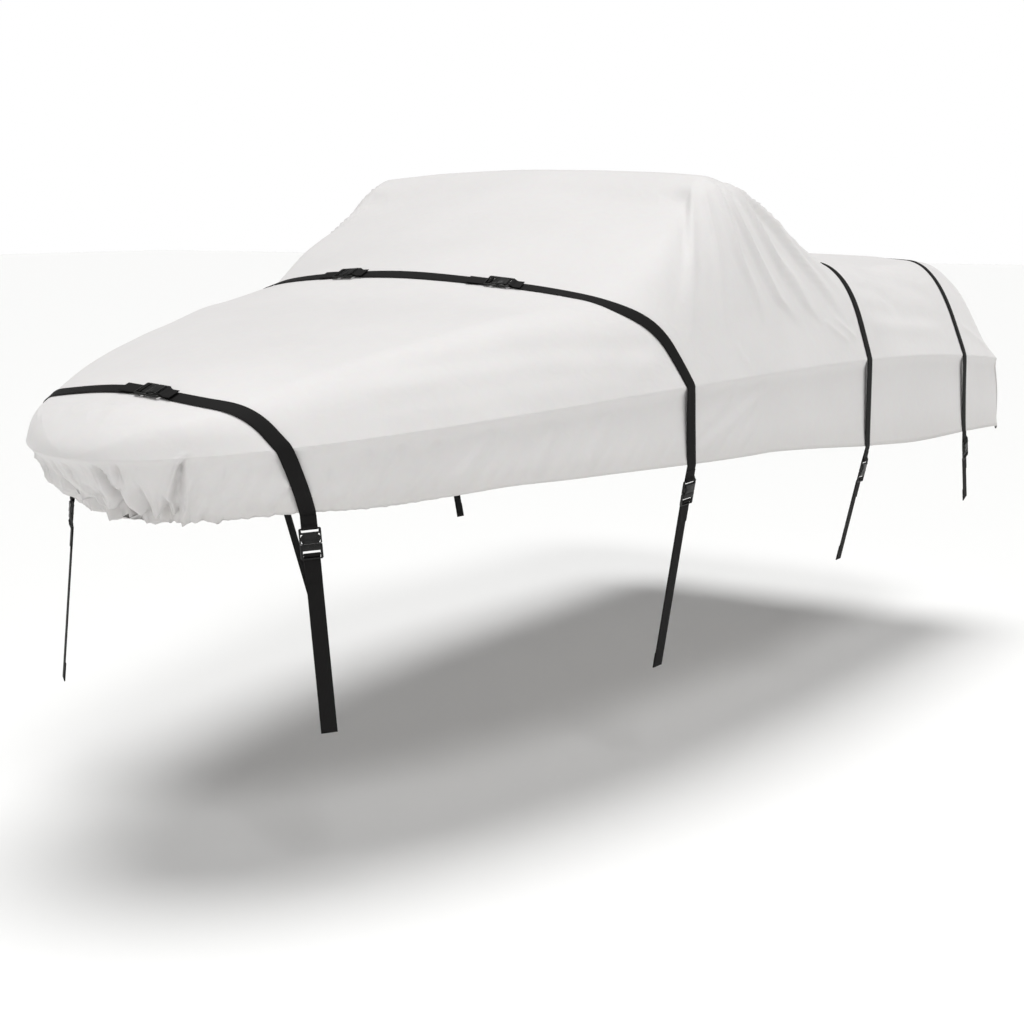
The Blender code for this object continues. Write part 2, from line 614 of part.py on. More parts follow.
def build_strap(strap, outside, places, across, mount, into, surfaces, buckle):
    name, edges, centre = strap.name, places[strap.name], across // 2
    web, plastic = surfaces

    # along the cloth from the port hem over the top to the starboard hem
    over = [cloth_row(outside, "port", edges, d, False) for d in reversed(range(SKIRT_STEPS))]
    over += [cloth_row(outside, "deck", edges, j, False) for j in range(across)]
    over += [cloth_row(outside, "starboard", edges, d, False) for d in range(SKIRT_STEPS)]
    ends = {}
    for side_name, hem, sign in (("port", over[0], -1), ("starboard", over[-1], 1)):
        foot = np.array([strap.foot_station, sign * strap.foot_off, strap.foot_height]) - mount
        start = middle(hem)
        place = Place(start + unit(foot - start) * strap.buckle_drop, foot - start,
                      (hem[1] - hem[0]) * -sign, 0)
        ends[side_name] = place
        made = add_object(f"{name}_buckle_{side_name}", buckle.copy(), into, plastic)
        made.matrix_world = place.matrix()
        lower = adjuster_loop(place)[::-1]
        length = np.linalg.norm(foot - place.centre)
        run = hanging_run(place.row(BUCKLE_LENGTH / 2 + TAIL, -CLEAR - LAYER, 0),
                          place.row(length, -CLEAR - LAYER, 0))
        bend = LAYER / 2
        turn = [place.row(length + bend * sin(t), -CLEAR - LAYER - bend * (1 - cos(t)), -t)
                for t in (pi / 4, pi / 2, 3 * pi / 4, pi)]
        turn.append(place.row(length - FOOT_FOLD, -CLEAR - 2 * LAYER, -pi))
        lower_rows = lower[:-1] + run + turn
        strip(f"{name}_web_lower_{side_name}", lower_rows, into, web)

    # the top buckles part the webbing that lies on the cloth
    middles = np.array([middle(row) for row in over])
    marks = []
    for girth in strap.tops:
        column = np.interp(abs(girth), girths(), np.arange(centre + 1))
        marks.append(SKIRT_STEPS + (column if girth < 0 else across - 1 - column))
    parts, start = [], 0
    for k, mark in enumerate(sorted(marks)):
        before = int(mark)
        row = tuple(a + (b - a) * (mark - before) for a, b in zip(over[before], over[before + 1]))
        base = middle(row) - (row[2] + row[3]) / 2 * (WEB_THICK / 2 + ON_CLOTH)
        flat = Place(base, middles[before + 1] - middles[before], row[0] - row[1], BUCKLE_LIFT)
        made = add_object(f"{name}_buckle_top_{k + 1}", buckle.copy(), into, plastic)
        made.matrix_world = flat.matrix()
        clear = np.linalg.norm(middles - base, axis=1) > BUCKLE_LENGTH / 2 + TAIL_ENTRY
        beside = np.flatnonzero(clear)
        parts.append((over[start:beside[beside <= before][-1] + 1], flat))
        start = beside[beside > before][0]
    parts.append((over[start:], None))
    labels = {1: ("over",), 2: ("port", "starboard"), 3: ("port", "middle", "starboard")}[len(parts)]
    arriving = None
    for label, (rows, flat) in zip(labels, parts):
        webbing = swapped(rows)
        if arriving is None:
            webbing = swapped(sewn_loop(ends["port"])[::-1]) + webbing
        else:
            webbing = adjuster_loop(arriving)[:0:-1] + webbing
        if flat is None:
            webbing = webbing + sewn_loop(ends["starboard"])
        else:
            webbing = webbing + sewn_loop(flat)
        strip(f"{name}_web_{label}", webbing, into, web)
        arriving = flat


def build_cord(outside, into, surface):
    # a bight of the drawcord that shows under the port stern corner
    last = max(i for kind, d, i in outside if kind == "port" and d == SKIRT_STEPS - 1)
    corner, fore = (outside[("port", SKIRT_STEPS - 1, i)][0] for i in (last, last - 1))
    along = unit(fore - corner)
    below = np.array([0, CLOTH / 2, -CORD_AIR])
    data = bpy.data.curves.new("hem_cord", "CURVE")
    data.dimensions = "3D"
    data.bevel_depth = CORD_RADIUS
    data.bevel_resolution = 2
    data.use_fill_caps = True
    spline = data.splines.new("POLY")
    turns = np.linspace(0, pi, 9)
    spline.points.add(len(turns) - 1)
    for point, turn in zip(spline.points, turns):
        where = corner + along * (CORD_FROM_CORNER + CORD_LOOP * (1 - cos(turn)) / 2) + below
        point.co = (*(where - np.array([0, 0, CORD_SAG * sin(turn)])), 1)
    cord = bpy.data.objects.new("hem_cord", data)
    data.materials.append(surface)
    into.objects.link(cord)


def main():
    clear_scene()
    cover_parts = collection("boat_cover")
    helpers = collection("helpers")
    cloth = material("coated_polyester", (0.80, 0.79, 0.77), 0.75)
    web = material("webbing", (0.012, 0.012, 0.011), 0.6)
    plastic = material("buckle_plastic", (0.015, 0.015, 0.015), 0.4)
    cord = material("cord", (0.012, 0.012, 0.012), 0.7)
    mount = np.array([MOUNT_STATION, 0, centre_height(MOUNT_STATION) - CLOTH - MOUNT_AIR])
    outside, places, across = build_cover(cover_parts, cloth, mount)
    buckle = buckle_mesh(helpers)
    for strap in STRAPS:
        build_strap(strap, outside, places, across, mount, cover_parts, (web, plastic), buckle)
    build_cord(outside, cover_parts, cord)
    bpy.data.collections.remove(helpers)


main()
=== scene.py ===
# Looks of the boat cover: one draped sheet of coated polyester with its folds, four runs of woven webbing,
# eleven side-release buckles and the small bight of drawcord. Metres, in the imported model's own frame.
from math import atan2, cos, pi, radians, sin

import bmesh
import bpy
import numpy as np
from mathutils import Matrix, Vector
from mathutils.bvhtree import BVHTree


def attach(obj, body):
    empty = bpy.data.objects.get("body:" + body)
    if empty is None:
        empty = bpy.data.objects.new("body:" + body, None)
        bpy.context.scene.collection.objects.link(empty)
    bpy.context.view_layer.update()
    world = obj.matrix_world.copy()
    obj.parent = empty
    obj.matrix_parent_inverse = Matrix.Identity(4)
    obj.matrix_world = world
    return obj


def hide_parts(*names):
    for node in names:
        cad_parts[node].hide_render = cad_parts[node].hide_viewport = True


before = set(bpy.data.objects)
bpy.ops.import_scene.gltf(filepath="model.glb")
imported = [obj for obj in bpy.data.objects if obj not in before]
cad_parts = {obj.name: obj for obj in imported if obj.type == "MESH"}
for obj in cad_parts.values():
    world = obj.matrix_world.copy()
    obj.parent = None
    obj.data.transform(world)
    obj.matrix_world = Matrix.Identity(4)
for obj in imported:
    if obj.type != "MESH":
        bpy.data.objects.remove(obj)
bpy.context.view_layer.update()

print("frame loaded:", len(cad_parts), "nodes")


# small helpers

def linearColour(hexText):  # sRGB hex to the linear numbers that the shaders take
    channels = [int(hexText[k:k + 2], 16) / 255 for k in (1, 3, 5)]
    return tuple(c / 12.92 if c <= 0.04045 else ((c + 0.055) / 1.055) ** 2.4 for c in channels) + (1.0,)


def unit(vectors):
    vectors = np.asarray(vectors, float)
    return vectors / np.maximum(np.linalg.norm(vectors, axis=-1, keepdims=True), 1e-12)


def smoothStep(t):
    t = np.clip(t, 0, 1)
    return t * t * (3 - 2 * t)


def runAlong(points):  # how far along a line each of its points lies
    return np.concatenate([[0], np.cumsum(np.linalg.norm(np.diff(points, axis=0), axis=1))])


def place(name, data):
    made = bpy.data.objects.new(name, data)
    bpy.context.scene.collection.objects.link(made)
    return made


def addPiece(name, data, surface, node):  # a piece that stands for one of the solids
    made = place(name, data)
    data.materials.clear()
    data.materials.append(surface)
    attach(made, "root")
    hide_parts(node)
    return made


def setPattern(mesh, flat):  # UVs in metres of flat cloth, from each point's place on it
    pattern = mesh.uv_layers.new(name="pattern")
    corners = np.zeros(len(mesh.loops), dtype=np.int64)
    mesh.loops.foreach_get("vertex_index", corners)
    pattern.data.foreach_set("uv", flat[corners].ravel())


def setInputs(tree, node, inputs):
    # each input from a number, a hex colour, or another node with the name of its output
    for key, value in inputs.items():
        if isinstance(value, tuple):
            tree.links.new(value[0].outputs[value[1]], node.inputs[key])
        else:
            node.inputs[key].default_value = linearColour(value) if isinstance(value, str) else value


def addNode(tree, kind, inputs, **settings):  # one node with its inputs and its settings
    node = tree.nodes.new("ShaderNode" + kind)
    for key, value in settings.items():
        setattr(node, key, value)
    setInputs(tree, node, inputs)
    return node


def waveScale(spacing):  # a wave texture's scale for bands this many metres apart
    return 2 * pi / 20 / spacing


def newMaterial(name, inputs):
    made = bpy.data.materials.new(name)
    made.use_nodes = True
    tree = made.node_tree
    shader = tree.nodes["Principled BSDF"]
    setInputs(tree, shader, inputs)
    return made, tree, shader


# the camera: fitted to the photo's rail, hem and peak

view = {
    "place": (-6.0488, -3.91594, -0.08983),
    "turn": 0.581229,      # from +X towards +Y, radians
    "dip": 0.167527,       # looks down by this, radians
    "lens": 63.34,         # mm on a 36 mm sensor
}
cameraData = bpy.data.cameras.new("studioCamera")
cameraData.lens, cameraData.sensor_width, cameraData.clip_end = view["lens"], 36.0, 200.0
studioCamera = place("studioCamera", cameraData)
turn, dip = view["turn"], view["dip"]
looking = Vector((cos(dip) * cos(turn), cos(dip) * sin(turn), -sin(dip)))
studioCamera.location = view["place"]
studioCamera.rotation_euler = looking.to_track_quat("-Z", "Y").to_euler()
bpy.context.scene.camera = studioCamera
print("camera set")


# the form that the cloth takes, from the same named values as the solids

form = {
    "length": 5.14, "beam": 2.16,
    "fullBeamShare": 0.654, "fullness": 1.976, "bluntness": 2.209, "taper": 0.05, "taperFrom": 0.6,
    "noseLength": 0.15,
    "sternFlare": 0.060, "sternBelly": 1.6, "sternHem": 0.6, "cornerLoss": 0.2, "cornerPower": 6,
    "bellyDepth": 0.52, "bellyTuck": 0.15,
    "cornerSide": 0.61, "cornerTop": 0.156, "sideEnd": 1 / 3, "cornerEnd": 2 / 3,
    "rowBow": 3.5,
    "peak": (2.42, 0.0, 2.17148),   # the origin, from the bow tip and the ground
}
columnNames = ("station", "rail", "share", "shoulder", "crown", "drop", "tuck", "lean", "lead")
sections = np.array([
    # station rail  share  shoulder crown  drop   tuck    lean   lead
    (0.000, 1.364, 0.80, 0.063, 0.094, 0.238, 0.360, 0.000, 0.000),
    (0.150, 1.375, 0.908, 0.087, 0.139, 0.230, 0.242, 0.044, 0.053),
    (0.353, 1.389, 0.87, 0.126, 0.198, 0.210, 0.089, 0.085, 0.116),
    (0.700, 1.410, 0.843, 0.203, 0.252, 0.229, 0.063, 0.070, 0.198),
    (1.000, 1.427, 0.836, 0.237, 0.284, 0.221, 0.000, 0.045, 0.256),
    (1.350, 1.443, 0.865, 0.277, 0.323, 0.240, -0.003, 0.030, 0.317),
    (1.730, 1.458, 0.898, 0.264, 0.458, 0.263, -0.005, 0.010, 0.376),
    (2.050, 1.466, 0.875, 0.441, 0.555, 0.281, -0.005, 0.000, 0.405),
    (2.320, 1.471, 0.851, 0.567, 0.658, 0.293, -0.005, 0.000, 0.403),
    (2.520, 1.474, 0.813, 0.714, 0.755, 0.301, 0.000, 0.000, 0.260),
    (2.800, 1.474, 0.79, 0.664, 0.715, 0.320, 0.000, 0.000, 0.130),
    (3.100, 1.471, 0.85, 0.500, 0.526, 0.343, 0.000, 0.000, 0.040),
    (3.370, 1.466, 0.89, 0.385, 0.424, 0.362, 0.000, 0.000, 0.000),
    (4.000, 1.441, 0.84, 0.370, 0.405, 0.384, 0.000, 0.000, 0.000),
    (4.600, 1.400, 0.845, 0.425, 0.459, 0.363, -0.010, 0.000, 0.000),
    (4.800, 1.383, 0.80, 0.434, 0.464, 0.355, -0.012, 0.000, 0.000),
    (4.950, 1.368, 0.79, 0.440, 0.475, 0.347, -0.015, 0.000, 0.000),
    (5.140, 1.348, 0.83, 0.188, 0.214, 0.338, -0.020, 0.000, 0.000),
])
peak = np.array(form["peak"])


def sectionTangents(xs, ys):  # slopes that let no bump appear between the sections
    width = np.diff(xs)
    slope = np.diff(ys) / width
    tangent = np.concatenate([[slope[0]], np.zeros(len(xs) - 2), [slope[-1]]])
    for k in range(1, len(xs) - 1):
        if slope[k - 1] * slope[k] > 0:
            before, after = 2 * width[k] + width[k - 1], width[k] + 2 * width[k - 1]
            tangent[k] = (before + after) / (before / slope[k - 1] + after / slope[k])
    return tangent


sectionSlopes = {name: sectionTangents(sections[:, 0], sections[:, k]) for k, name in enumerate(columnNames)}


def atStation(station, name):
    xs, ys = sections[:, 0], sections[:, columnNames.index(name)]
    x = np.clip(station, xs[0], xs[-1])
    k = np.clip(np.searchsorted(xs, x) - 1, 0, len(xs) - 2)
    width, slope = np.diff(xs)[k], sectionSlopes[name]
    t = (x - xs[k]) / width
    return (ys[k] * (1 + 2 * t) * (1 - t) ** 2 + slope[k] * width * t * (1 - t) ** 2
            + ys[k + 1] * t * t * (3 - 2 * t) + slope[k + 1] * width * t * t * (t - 1))


def halfBeam(station):
    t = np.clip(np.asarray(station, float) / (form["fullBeamShare"] * form["length"]), 0, 1)
    aft = np.maximum((station / form["length"] - form["taperFrom"]) / (1 - form["taperFrom"]), 0)
    taper = 1 - form["taper"] * aft ** 2
    return form["beam"] / 2 * (1 - (1 - t) ** form["fullness"]) ** (1 / form["bluntness"]) * taper


def deckSection(station, girth):
    # off the centreline and above the ground, for girth 0 at the rail to 1 at the centreline
    station, girth = np.broadcast_arrays(np.asarray(station, float), np.asarray(girth, float))
    half, rail = halfBeam(station), atStation(station, "rail")
    nose = np.sqrt(1 - (1 - np.minimum(station / form["noseLength"], 1)) ** 2)
    shoulder = np.stack([half * atStation(station, "share"),
                         rail + nose * atStation(station, "shoulder")], -1)
    crown = rail + nose * atStation(station, "crown")
    edge = np.stack([half, rail], -1)
    sideTop = shoulder + (edge - shoulder) * form["cornerSide"]

    def top(share):  # share of the shoulder's distance off the centreline
        return np.stack([shoulder[..., 0] * share, crown - (crown - shoulder[..., 1]) * share ** 2], -1)

    topShare = 1 - form["cornerTop"]
    topStart = top(np.full_like(girth, topShare))
    side = edge + (sideTop - edge) * (girth / form["sideEnd"])[..., None]
    t = ((girth - form["sideEnd"]) / (form["cornerEnd"] - form["sideEnd"]))[..., None]
    corner = sideTop * (1 - t) ** 2 + shoulder * 2 * t * (1 - t) + topStart * t * t
    over = top(topShare * (1 - (girth - form["cornerEnd"]) / (1 - form["cornerEnd"])))
    girth = girth[..., None]
    return np.where(girth < form["sideEnd"], side, np.where(girth < form["cornerEnd"], corner, over))


def rowStation(railStation, girth):  # rows of the cloth bow forward towards the centreline
    across = deckSection(railStation, girth)[..., 0] / np.maximum(halfBeam(railStation), 1e-9)
    return railStation - atStation(railStation, "lead") * (1 - across ** form["rowBow"])


def deckPoint(station, girth, side):
    section = deckSection(station, girth)
    station = np.broadcast_to(station, section.shape[:-1])
    return np.stack([station, side * section[..., 0], section[..., 1]], -1)


def planNormal(station, side):
    step = 0.002
    fore, aft = np.minimum(station + step, form["length"]), np.maximum(station - step, 0)
    slope = (halfBeam(fore) - halfBeam(aft)) / (2 * step)
    return unit(np.stack([-slope, np.full_like(slope, side), np.zeros_like(slope)], -1))


def sagging(top, belly, hem, drop, depth):  # one curve from the rail over the skirt's belly to the hem
    up = np.array([0, 0, 1.0])
    belly = top + belly - up * (drop * form["bellyDepth"])[..., None]
    hem = top + hem - up * drop[..., None]
    depth = np.asarray(depth)[..., None]
    return top * (1 - depth) ** 2 + belly * 2 * depth * (1 - depth) + hem * depth ** 2


def skirtPoint(station, side, depth):  # depth 0 at the rail, 1 at the hem
    station, depth = np.broadcast_arrays(np.asarray(station, float), np.asarray(depth, float))
    lean = np.minimum(station + atStation(station, "lean") * depth, form["length"])
    top = deckPoint(lean, np.zeros_like(lean), side)
    drop, tuck = atStation(lean, "drop"), atStation(lean, "tuck")[..., None]
    outward = planNormal(lean, side)
    return sagging(top, -outward * tuck * form["bellyTuck"], -outward * tuck, drop, depth)


def sternPoint(top, offShare, depth):
    drop = atStation(form["length"], "drop") + top[..., 2] - atStation(form["length"], "rail")
    aft = np.zeros_like(top)
    aft[..., 0] = form["sternFlare"] * (1 - form["cornerLoss"] * np.abs(offShare) ** form["cornerPower"])
    return sagging(top, aft * form["sternBelly"], aft * form["sternHem"], drop, depth)


def bowPoint(depth):
    depth = np.asarray(depth, float)
    tip = np.zeros(depth.shape + (3,)) + np.array([0, 0, atStation(0.0, "rail")])
    tuck = np.array([atStation(0.0, "tuck"), 0, 0])
    drop = np.full(depth.shape, atStation(0.0, "drop"))
    return sagging(tip, tuck * form["bellyTuck"], tuck, drop, depth)


def clothPoint(station, girth, side):  # girth below 0 is down the skirt
    station, girth = np.broadcast_arrays(np.asarray(station, float), np.asarray(girth, float))
    above = deckPoint(station, np.maximum(girth, 0), side)
    below = skirtPoint(station, side, np.maximum(-girth, 0))
    return np.where(girth[..., None] >= 0, above, below)


# folds of the cloth. Each line gives its width and how proud it stands, in mm, and then its points: station
# in mm and girth in thousandths, or at the bow the distance off the centreline, minus to port, and girth

folds = []


def addFolds(kind, side, fade, grow, *lines):
    # fade is the share of the line over which it comes and goes, grow the share of its width at each end
    for width, height, *points in lines:
        folds.append({"kind": kind, "side": side, "line": np.array(points) / 1000, "width": width / 1000,
                      "height": height / 1000, "fade": fade, "grow": grow})


even = (1, 1)
soft = (.25, .25)
# the pleat at the peak's corner: a dark groove with a raised band on its aft side
addFolds("trough", "both", (.05, .6), even,
         (15, 9.5, (2455, 685), (2394, 667), (2289, 609), (2202, 551), (2062, 449), (1974, 362)))
addFolds("ridge", "both", (.05, .6), even,
         (20, 9.5, (2450, 675), (2324, 609), (2219, 522), (2114, 420), (2044, 348), (2000, 250)))
addFolds("crease", "both", (.1, .4), even,
         (30, -4.5, (2429, 681), (2307, 638), (2184, 551), (2044, 449), (1960, 340)))
# the pulls that fan out from the corner towards the cockpit strap, thin ridges with flat cloth between them
addFolds("pleat", "both", (.1, .65), (.35, 1.25),
         (34, 8, (2446, 620), (2377, 536), (2342, 478), (2307, 435), (2272, 377), (2240, 250)),
         (46, 12, (2510, 600), (2464, 493), (2446, 435), (2446, 391), (2499, 348), (2516, 275), (2550, 180)),
         (54, 15, (2575, 610), (2516, 493), (2551, 435), (2586, 391), (2660, 340), (2779, 261), (2870, 170)),
         (58, 18, (2639, 615), (2656, 536), (2709, 449), (2761, 391), (2866, 362), (2954, 290), (3050, 210)),
         (58, 18, (2691, 615), (2761, 536), (2849, 493), (2954, 449), (3024, 420), (3129, 377), (3300, 304)),
         (44, 12, (2760, 570), (2866, 500), (3006, 485), (3111, 464), (3251, 425), (3338, 385)))
addFolds("ridge", "both", soft, even,
         (22, 3.5, (3100, 315), (3220, 240), (3304, 159)), (22, 3.2, (3020, 270), (3120, 200), (3220, 130)),
         (20, 2.5, (2300, 200), (2330, 100), (2380, 30)))
# soft creases along both sides of the cover's top, ahead of the peak and behind it
addFolds("crease", "both", (.2, .1), even,
         (55, 6, (534, 478), (715, 449), (1065, 406), (1642, 362), (1900, 340)))
addFolds("crease", "both", (.2, .2), even,
         (55, 4, (567, 319), (925, 319), (1572, 232), (1817, 232)))
addFolds("crease", "both", (.1, .3), even,
         (45, 5.5, (3461, 348), (3951, 333), (4475, 290)))
addFolds("trough", "both", soft, even,
         (40, 5, (3531, 565), (3968, 522), (4475, 391)), (35, 5, (3426, 464), (3758, 449), (3986, 362)))
# gathers under the bow, where the hem is drawn in
addFolds("tuck", "bow", (.25, .03), (.3, 1.25),
         (44, 30, (-55, -68), (-85, -182), (-99, -364), (-71, -614), (20, -800), (107, -970)))
addFolds("tuck", "bow", (.25, .03), (.5, 1.2),
         (26, 20, (55, -500), (27, -590), (58, -750), (68, -970)),
         (16, 11, (-309, -500), (-280, -680), (-248, -950)))
addFolds("tuck", "bow", (.25, .03), (.7, 1),
         (18, 9, (-145, -45), (-137, -205), (-129, -364), (-103, -560)))
addFolds("tuck", "bow", (.25, .03), (.5, 1.6),
         (24, 19, (-336, 30), (-331, -20), (-318, -90), (-304, -250), (-285, -500), (-252, -750),
          (-208, -970)))
addFolds("tuck", "bow", (.25, .03), (.5, 1.3),
         (20, 15, (-248, -500), (-230, -705), (-173, -950)))
addFolds("tuck", "bow", (.25, .03), (.6, 1.2),
         (18, 8, (-180, -350), (-165, -600), (-110, -970)), (20, 12, (60, -100), (75, -450), (110, -900)),
         (22, 14, (135, -100), (150, -500), (185, -970)), (22, 14, (215, -120), (225, -500), (250, -970)),
         (24, 13, (300, -100), (305, -500), (310, -970)), (24, 12, (385, -120), (380, -500), (370, -970)),
         (24, 10, (470, -150), (460, -500), (440, -970)))
addFolds("ridge", "bow", (.15, .2), even,
         (14, 8, (-65, -68), (-52, -364), (40, -660), (110, -820)),
         (16, 10, (-150, -250), (-133, -318), (-118, -568), (0, -820), (161, -1000)),
         (12, 4, (-100, -50), (-125, -200), (-140, -330)), (16, 4, (-200, -100), (-190, -300), (-160, -450)),
         (14, 6, (-20, -80), (-10, -300), (30, -480)), (14, 7, (15, -280), (60, -420), (100, -620)))
# diagonals in the bow's skirt, from the rail down and forward to the hem
addFolds("ridge", "both", (.2, .2), (.8, 1.2),
         (18, 11, (171, -67), (144, -200), (122, -367), (94, -633), (72, -970)),
         (22, 11, (215, -100), (188, -300), (127, -700), (100, -970)),
         (22, 10.2, (262, -180), (230, -350), (204, -567), (160, -833), (140, -980)),
         (22, 8.5, (314, -200), (264, -400), (221, -700), (190, -970)),
         (18, 8.5, (335, -450), (320, -533), (270, -733), (237, -900)),
         (18, 9.3, (413, -40), (386, -167), (347, -367), (310, -600)),
         (20, 8.5, (455, -380), (435, -467), (375, -733), (336, -950)),
         (26, 8.5, (590, -160), (520, -450), (430, -850)), (28, 9.3, (700, -140), (610, -450), (520, -850)),
         (26, 8.5, (830, -180), (730, -500), (640, -850)), (30, 8.5, (1030, -120), (930, -450), (820, -850)),
         (26, 7.1, (1300, -200), (1200, -550), (1120, -900)),
         (28, 6.8, (1560, -160), (1460, -500), (1360, -880)),
         (26, 7.1, (2289, -20), (2167, -300), (2027, -567), (1930, -800)),
         (28, 8.5, (2551, -40), (2307, -400), (2079, -733), (1970, -950)))
# smaller diagonals that the hem's cord pulls all along the skirt: the foot's station, reach up and height
for foot, reach, height in (
        (300, 550, 3.5), (345, 400, 3), (460, 620, 4), (520, 420, 3.4), (620, 700, 3.6), (690, 500, 4),
        (760, 620, 3.2), (820, 400, 3.6), (905, 660, 3.4), (970, 460, 4), (1040, 600, 3.4), (1120, 480, 3.8),
        (1200, 700, 3.2), (1270, 420, 3.8), (1360, 580, 3.4), (1440, 440, 3.6), (1530, 660, 3.2),
        (1610, 420, 3.6), (1700, 560, 3.2), (1790, 400, 3.4), (1960, 600, 3), (2060, 440, 3),
        (2149, 950, 4.2), (2205, 900, 4.6), (2235, 800, 4.2), (2420, 520, 2.8), (2560, 400, 2.8),
        (2700, 600, 2.6), (2860, 420, 2.6), (3020, 500, 2.4), (3180, 360, 2.4), (3520, 400, 2.2),
        (3720, 340, 2.2), (3960, 440, 2), (4240, 340, 2.2), (4460, 300, 2.2), (4780, 400, 2.4),
        (4960, 500, 2.6)):
    run = reach * float(atStation(foot / 1000, "drop"))
    addFolds("pull", "both", (.08, .5), even,
             (13 + .008 * reach, height, (foot, -990), (foot + .62 * run, reach / 2 - 990),
              (foot + 1.3 * run, reach - 990)))
# puckers under the bow strap's far part
addFolds("pull", "starboard", (.1, .6), even,
         (11, 3, (160, 841), (56, 913)), (11, 3.4, (160, 899), (50, 971)), (11, 3.4, (155, 957), (45, 990)),
         (11, 3, (155, 768), (45, 710)), (11, 2.8, (165, 700), (60, 640)), (11, 2.6, (180, 620), (85, 560)))
addFolds("pull", "port", (.1, .6), even,
         (11, 4.2, (166, 971), (28, 841)), (11, 2.6, (170, 900), (75, 860)),
         (11, 2.2, (185, 820), (105, 790)))
# pulls and slack in the cloth behind the peak and at the stern
addFolds("pull", "both", soft, even,
         (35, 5.5, (4700, 600), (4900, 500), (5100, 300)), (35, 4.5, (4680, 300), (4860, 200), (5080, 50)),
         (28, 4, (3460, 720), (3620, 640), (3860, 600)), (30, 3.8, (3440, 880), (3700, 800), (3980, 780)),
         (30, 3.8, (4100, 640), (4340, 580), (4550, 570)))
addFolds("trough", "both", soft, even,
         (50, 5.5, (4720, 800), (4920, 700), (5120, 620)), (40, 4, (4000, 900), (4300, 840), (4550, 820)))

foldProfiles = {           # how proud a fold stands across its line, with 1 at its width to one side
    "pull": lambda x: np.exp(-1.5 * np.abs(x) ** 1.4),
    "ridge": lambda x: np.exp(-1.8 * np.abs(x) ** 1.15),
    # steep to the front and long to the back
    "pleat": lambda x: np.where(
        x > 0, np.exp(-1.5 * np.abs(x / 0.33) ** 1.4), np.clip(1 + x / 1.6, 0, 1) ** 1.1),
    "trough": lambda x: -np.exp(-x ** 2),
    "crease": lambda x: 1.3 * x * np.exp(-0.9 * x ** 2),
    "tuck": lambda x: -np.exp(-(x / 0.5) ** 2) + 0.55 * np.exp(-((np.abs(x) - 1.15) / 0.5) ** 2),
}
print("folds listed:", len(folds))


# the cloth: one sheet with a hem all round

cloth = {
    "thick": 0.0016,
    "rowStations": (0, 0.5, 1.2, 1.9, 3.3, 3.6, 5.2),      # where the rows' spacing changes
    "rowSpacing": (0.0078, 0.009, 0.0135, 0.0108, 0.0108, 0.017, 0.018),
    "columns": (8, 24, 26, 12),            # in the rail's round, the side, the shoulder and the top
    "railRound": 0.06, "railCrowding": 1.6,
    "skirtRings": 20, "firstRings": 0.05,  # the first rings lie close under the rail, down to this depth
    "edgeEase": (0.5, 0.35, 0.2), "columnEase": (0.4, 0.3), "sternRows": 4, "sternEase": 0.3,
    "strapPress": 0.0030, "strapReach": 0.034, "strapFlattens": 0.8,
    "standOut": 1.55,                      # how far all the folds stand out
    "linePoints": 56, "lineRounds": 12,    # of a fold's smoothed line
    "girthLength": 1.2, "bowGirthLength": 0.25,            # about what a girth of 1 is long
    "reach": 3.4, "starts": 0.12, "ends": 0.02,            # how far a fold reaches, in widths, and its ends
    "waves": ((0.0016, 11, 0.55), (0.0007, 12, 0.20)),     # the cloth's unevenness: height, seed and size
    "slackStation": 4.505, "slackWidth": 0.050, "slackHeight": 0.008,    # slack just ahead of the stern strap
    "slackHalf": 0.74, "slackFade": 0.14, "slackAboveRail": 0.2,
    "recess": 0.016, "recessStart": 0.022, "recessFade": 0.8,      # the skirt draws in under the rail
    "patternDrop": 0.3,                    # the skirt's depth in the flat pattern
}
hem = {
    "around": 13.0,                        # the hem's length, which the gathers are spaced along
    "channel": (0.0022, 0.011, 0.011),     # the drawcord's channel: how proud, how high up and how wide
    "stitching": (-0.0012, 0.028, 0.0065), # the stitched line above it
    "seed": 5, "spacing": 0.052,           # of the gathers
    "reach": (0.022, 0.03), "height": (0.0014, 0.0026),    # of the gathers, and what the bow adds
    "bowEnds": 1.3, "bowFade": 1.2,
    "heldIn": 0.55, "heldFrom": 0.8,       # the cord holds the folds in at the hem's own edge
    "turnedUp": 3,                         # rings of cloth turned up inside
}
straps = {
    # rail station, side buckle's drop below the hem, foot's station, distance off and height,
    # and the girths of its top buckles, with a minus on the port side
    "bow": (0.346, 0.090, 0.455, 0.575, 0.520, (-0.886,)),
    "deck": (1.967, 0.104, 2.075, 0.815, 0.410, (-0.793, 0.898)),
    "cockpit": (3.370, 0.105, 3.360, 0.975, 0.620, ()),
    "stern": (4.600, 0.092, 4.740, 1.035, 0.700, ()),
}


def girthColumns():
    rail, side, corner, top = cloth["columns"]
    edge = cloth["railRound"]
    return np.concatenate([edge * (np.arange(rail) / rail) ** cloth["railCrowding"],
                           np.linspace(edge, form["sideEnd"], side, endpoint=False),
                           np.linspace(form["sideEnd"], form["cornerEnd"], corner, endpoint=False),
                           np.linspace(form["cornerEnd"], 1, top + 1)])


def railStations():
    # steps along the rail's own length, finest at the bow and where the pulls fan out
    fine = form["length"] * np.linspace(0, 1, 6001) ** 3
    run = runAlong(np.stack([fine, halfBeam(fine)], 1))
    marks, at = [], 0.0
    while at < run[-1]:
        at += np.interp(np.interp(at, run, fine), cloth["rowStations"], cloth["rowSpacing"])
        marks.append(at)
    marks = np.array(marks[:-1]) * run[-1] / marks[-2]
    return np.interp(marks, run, fine)


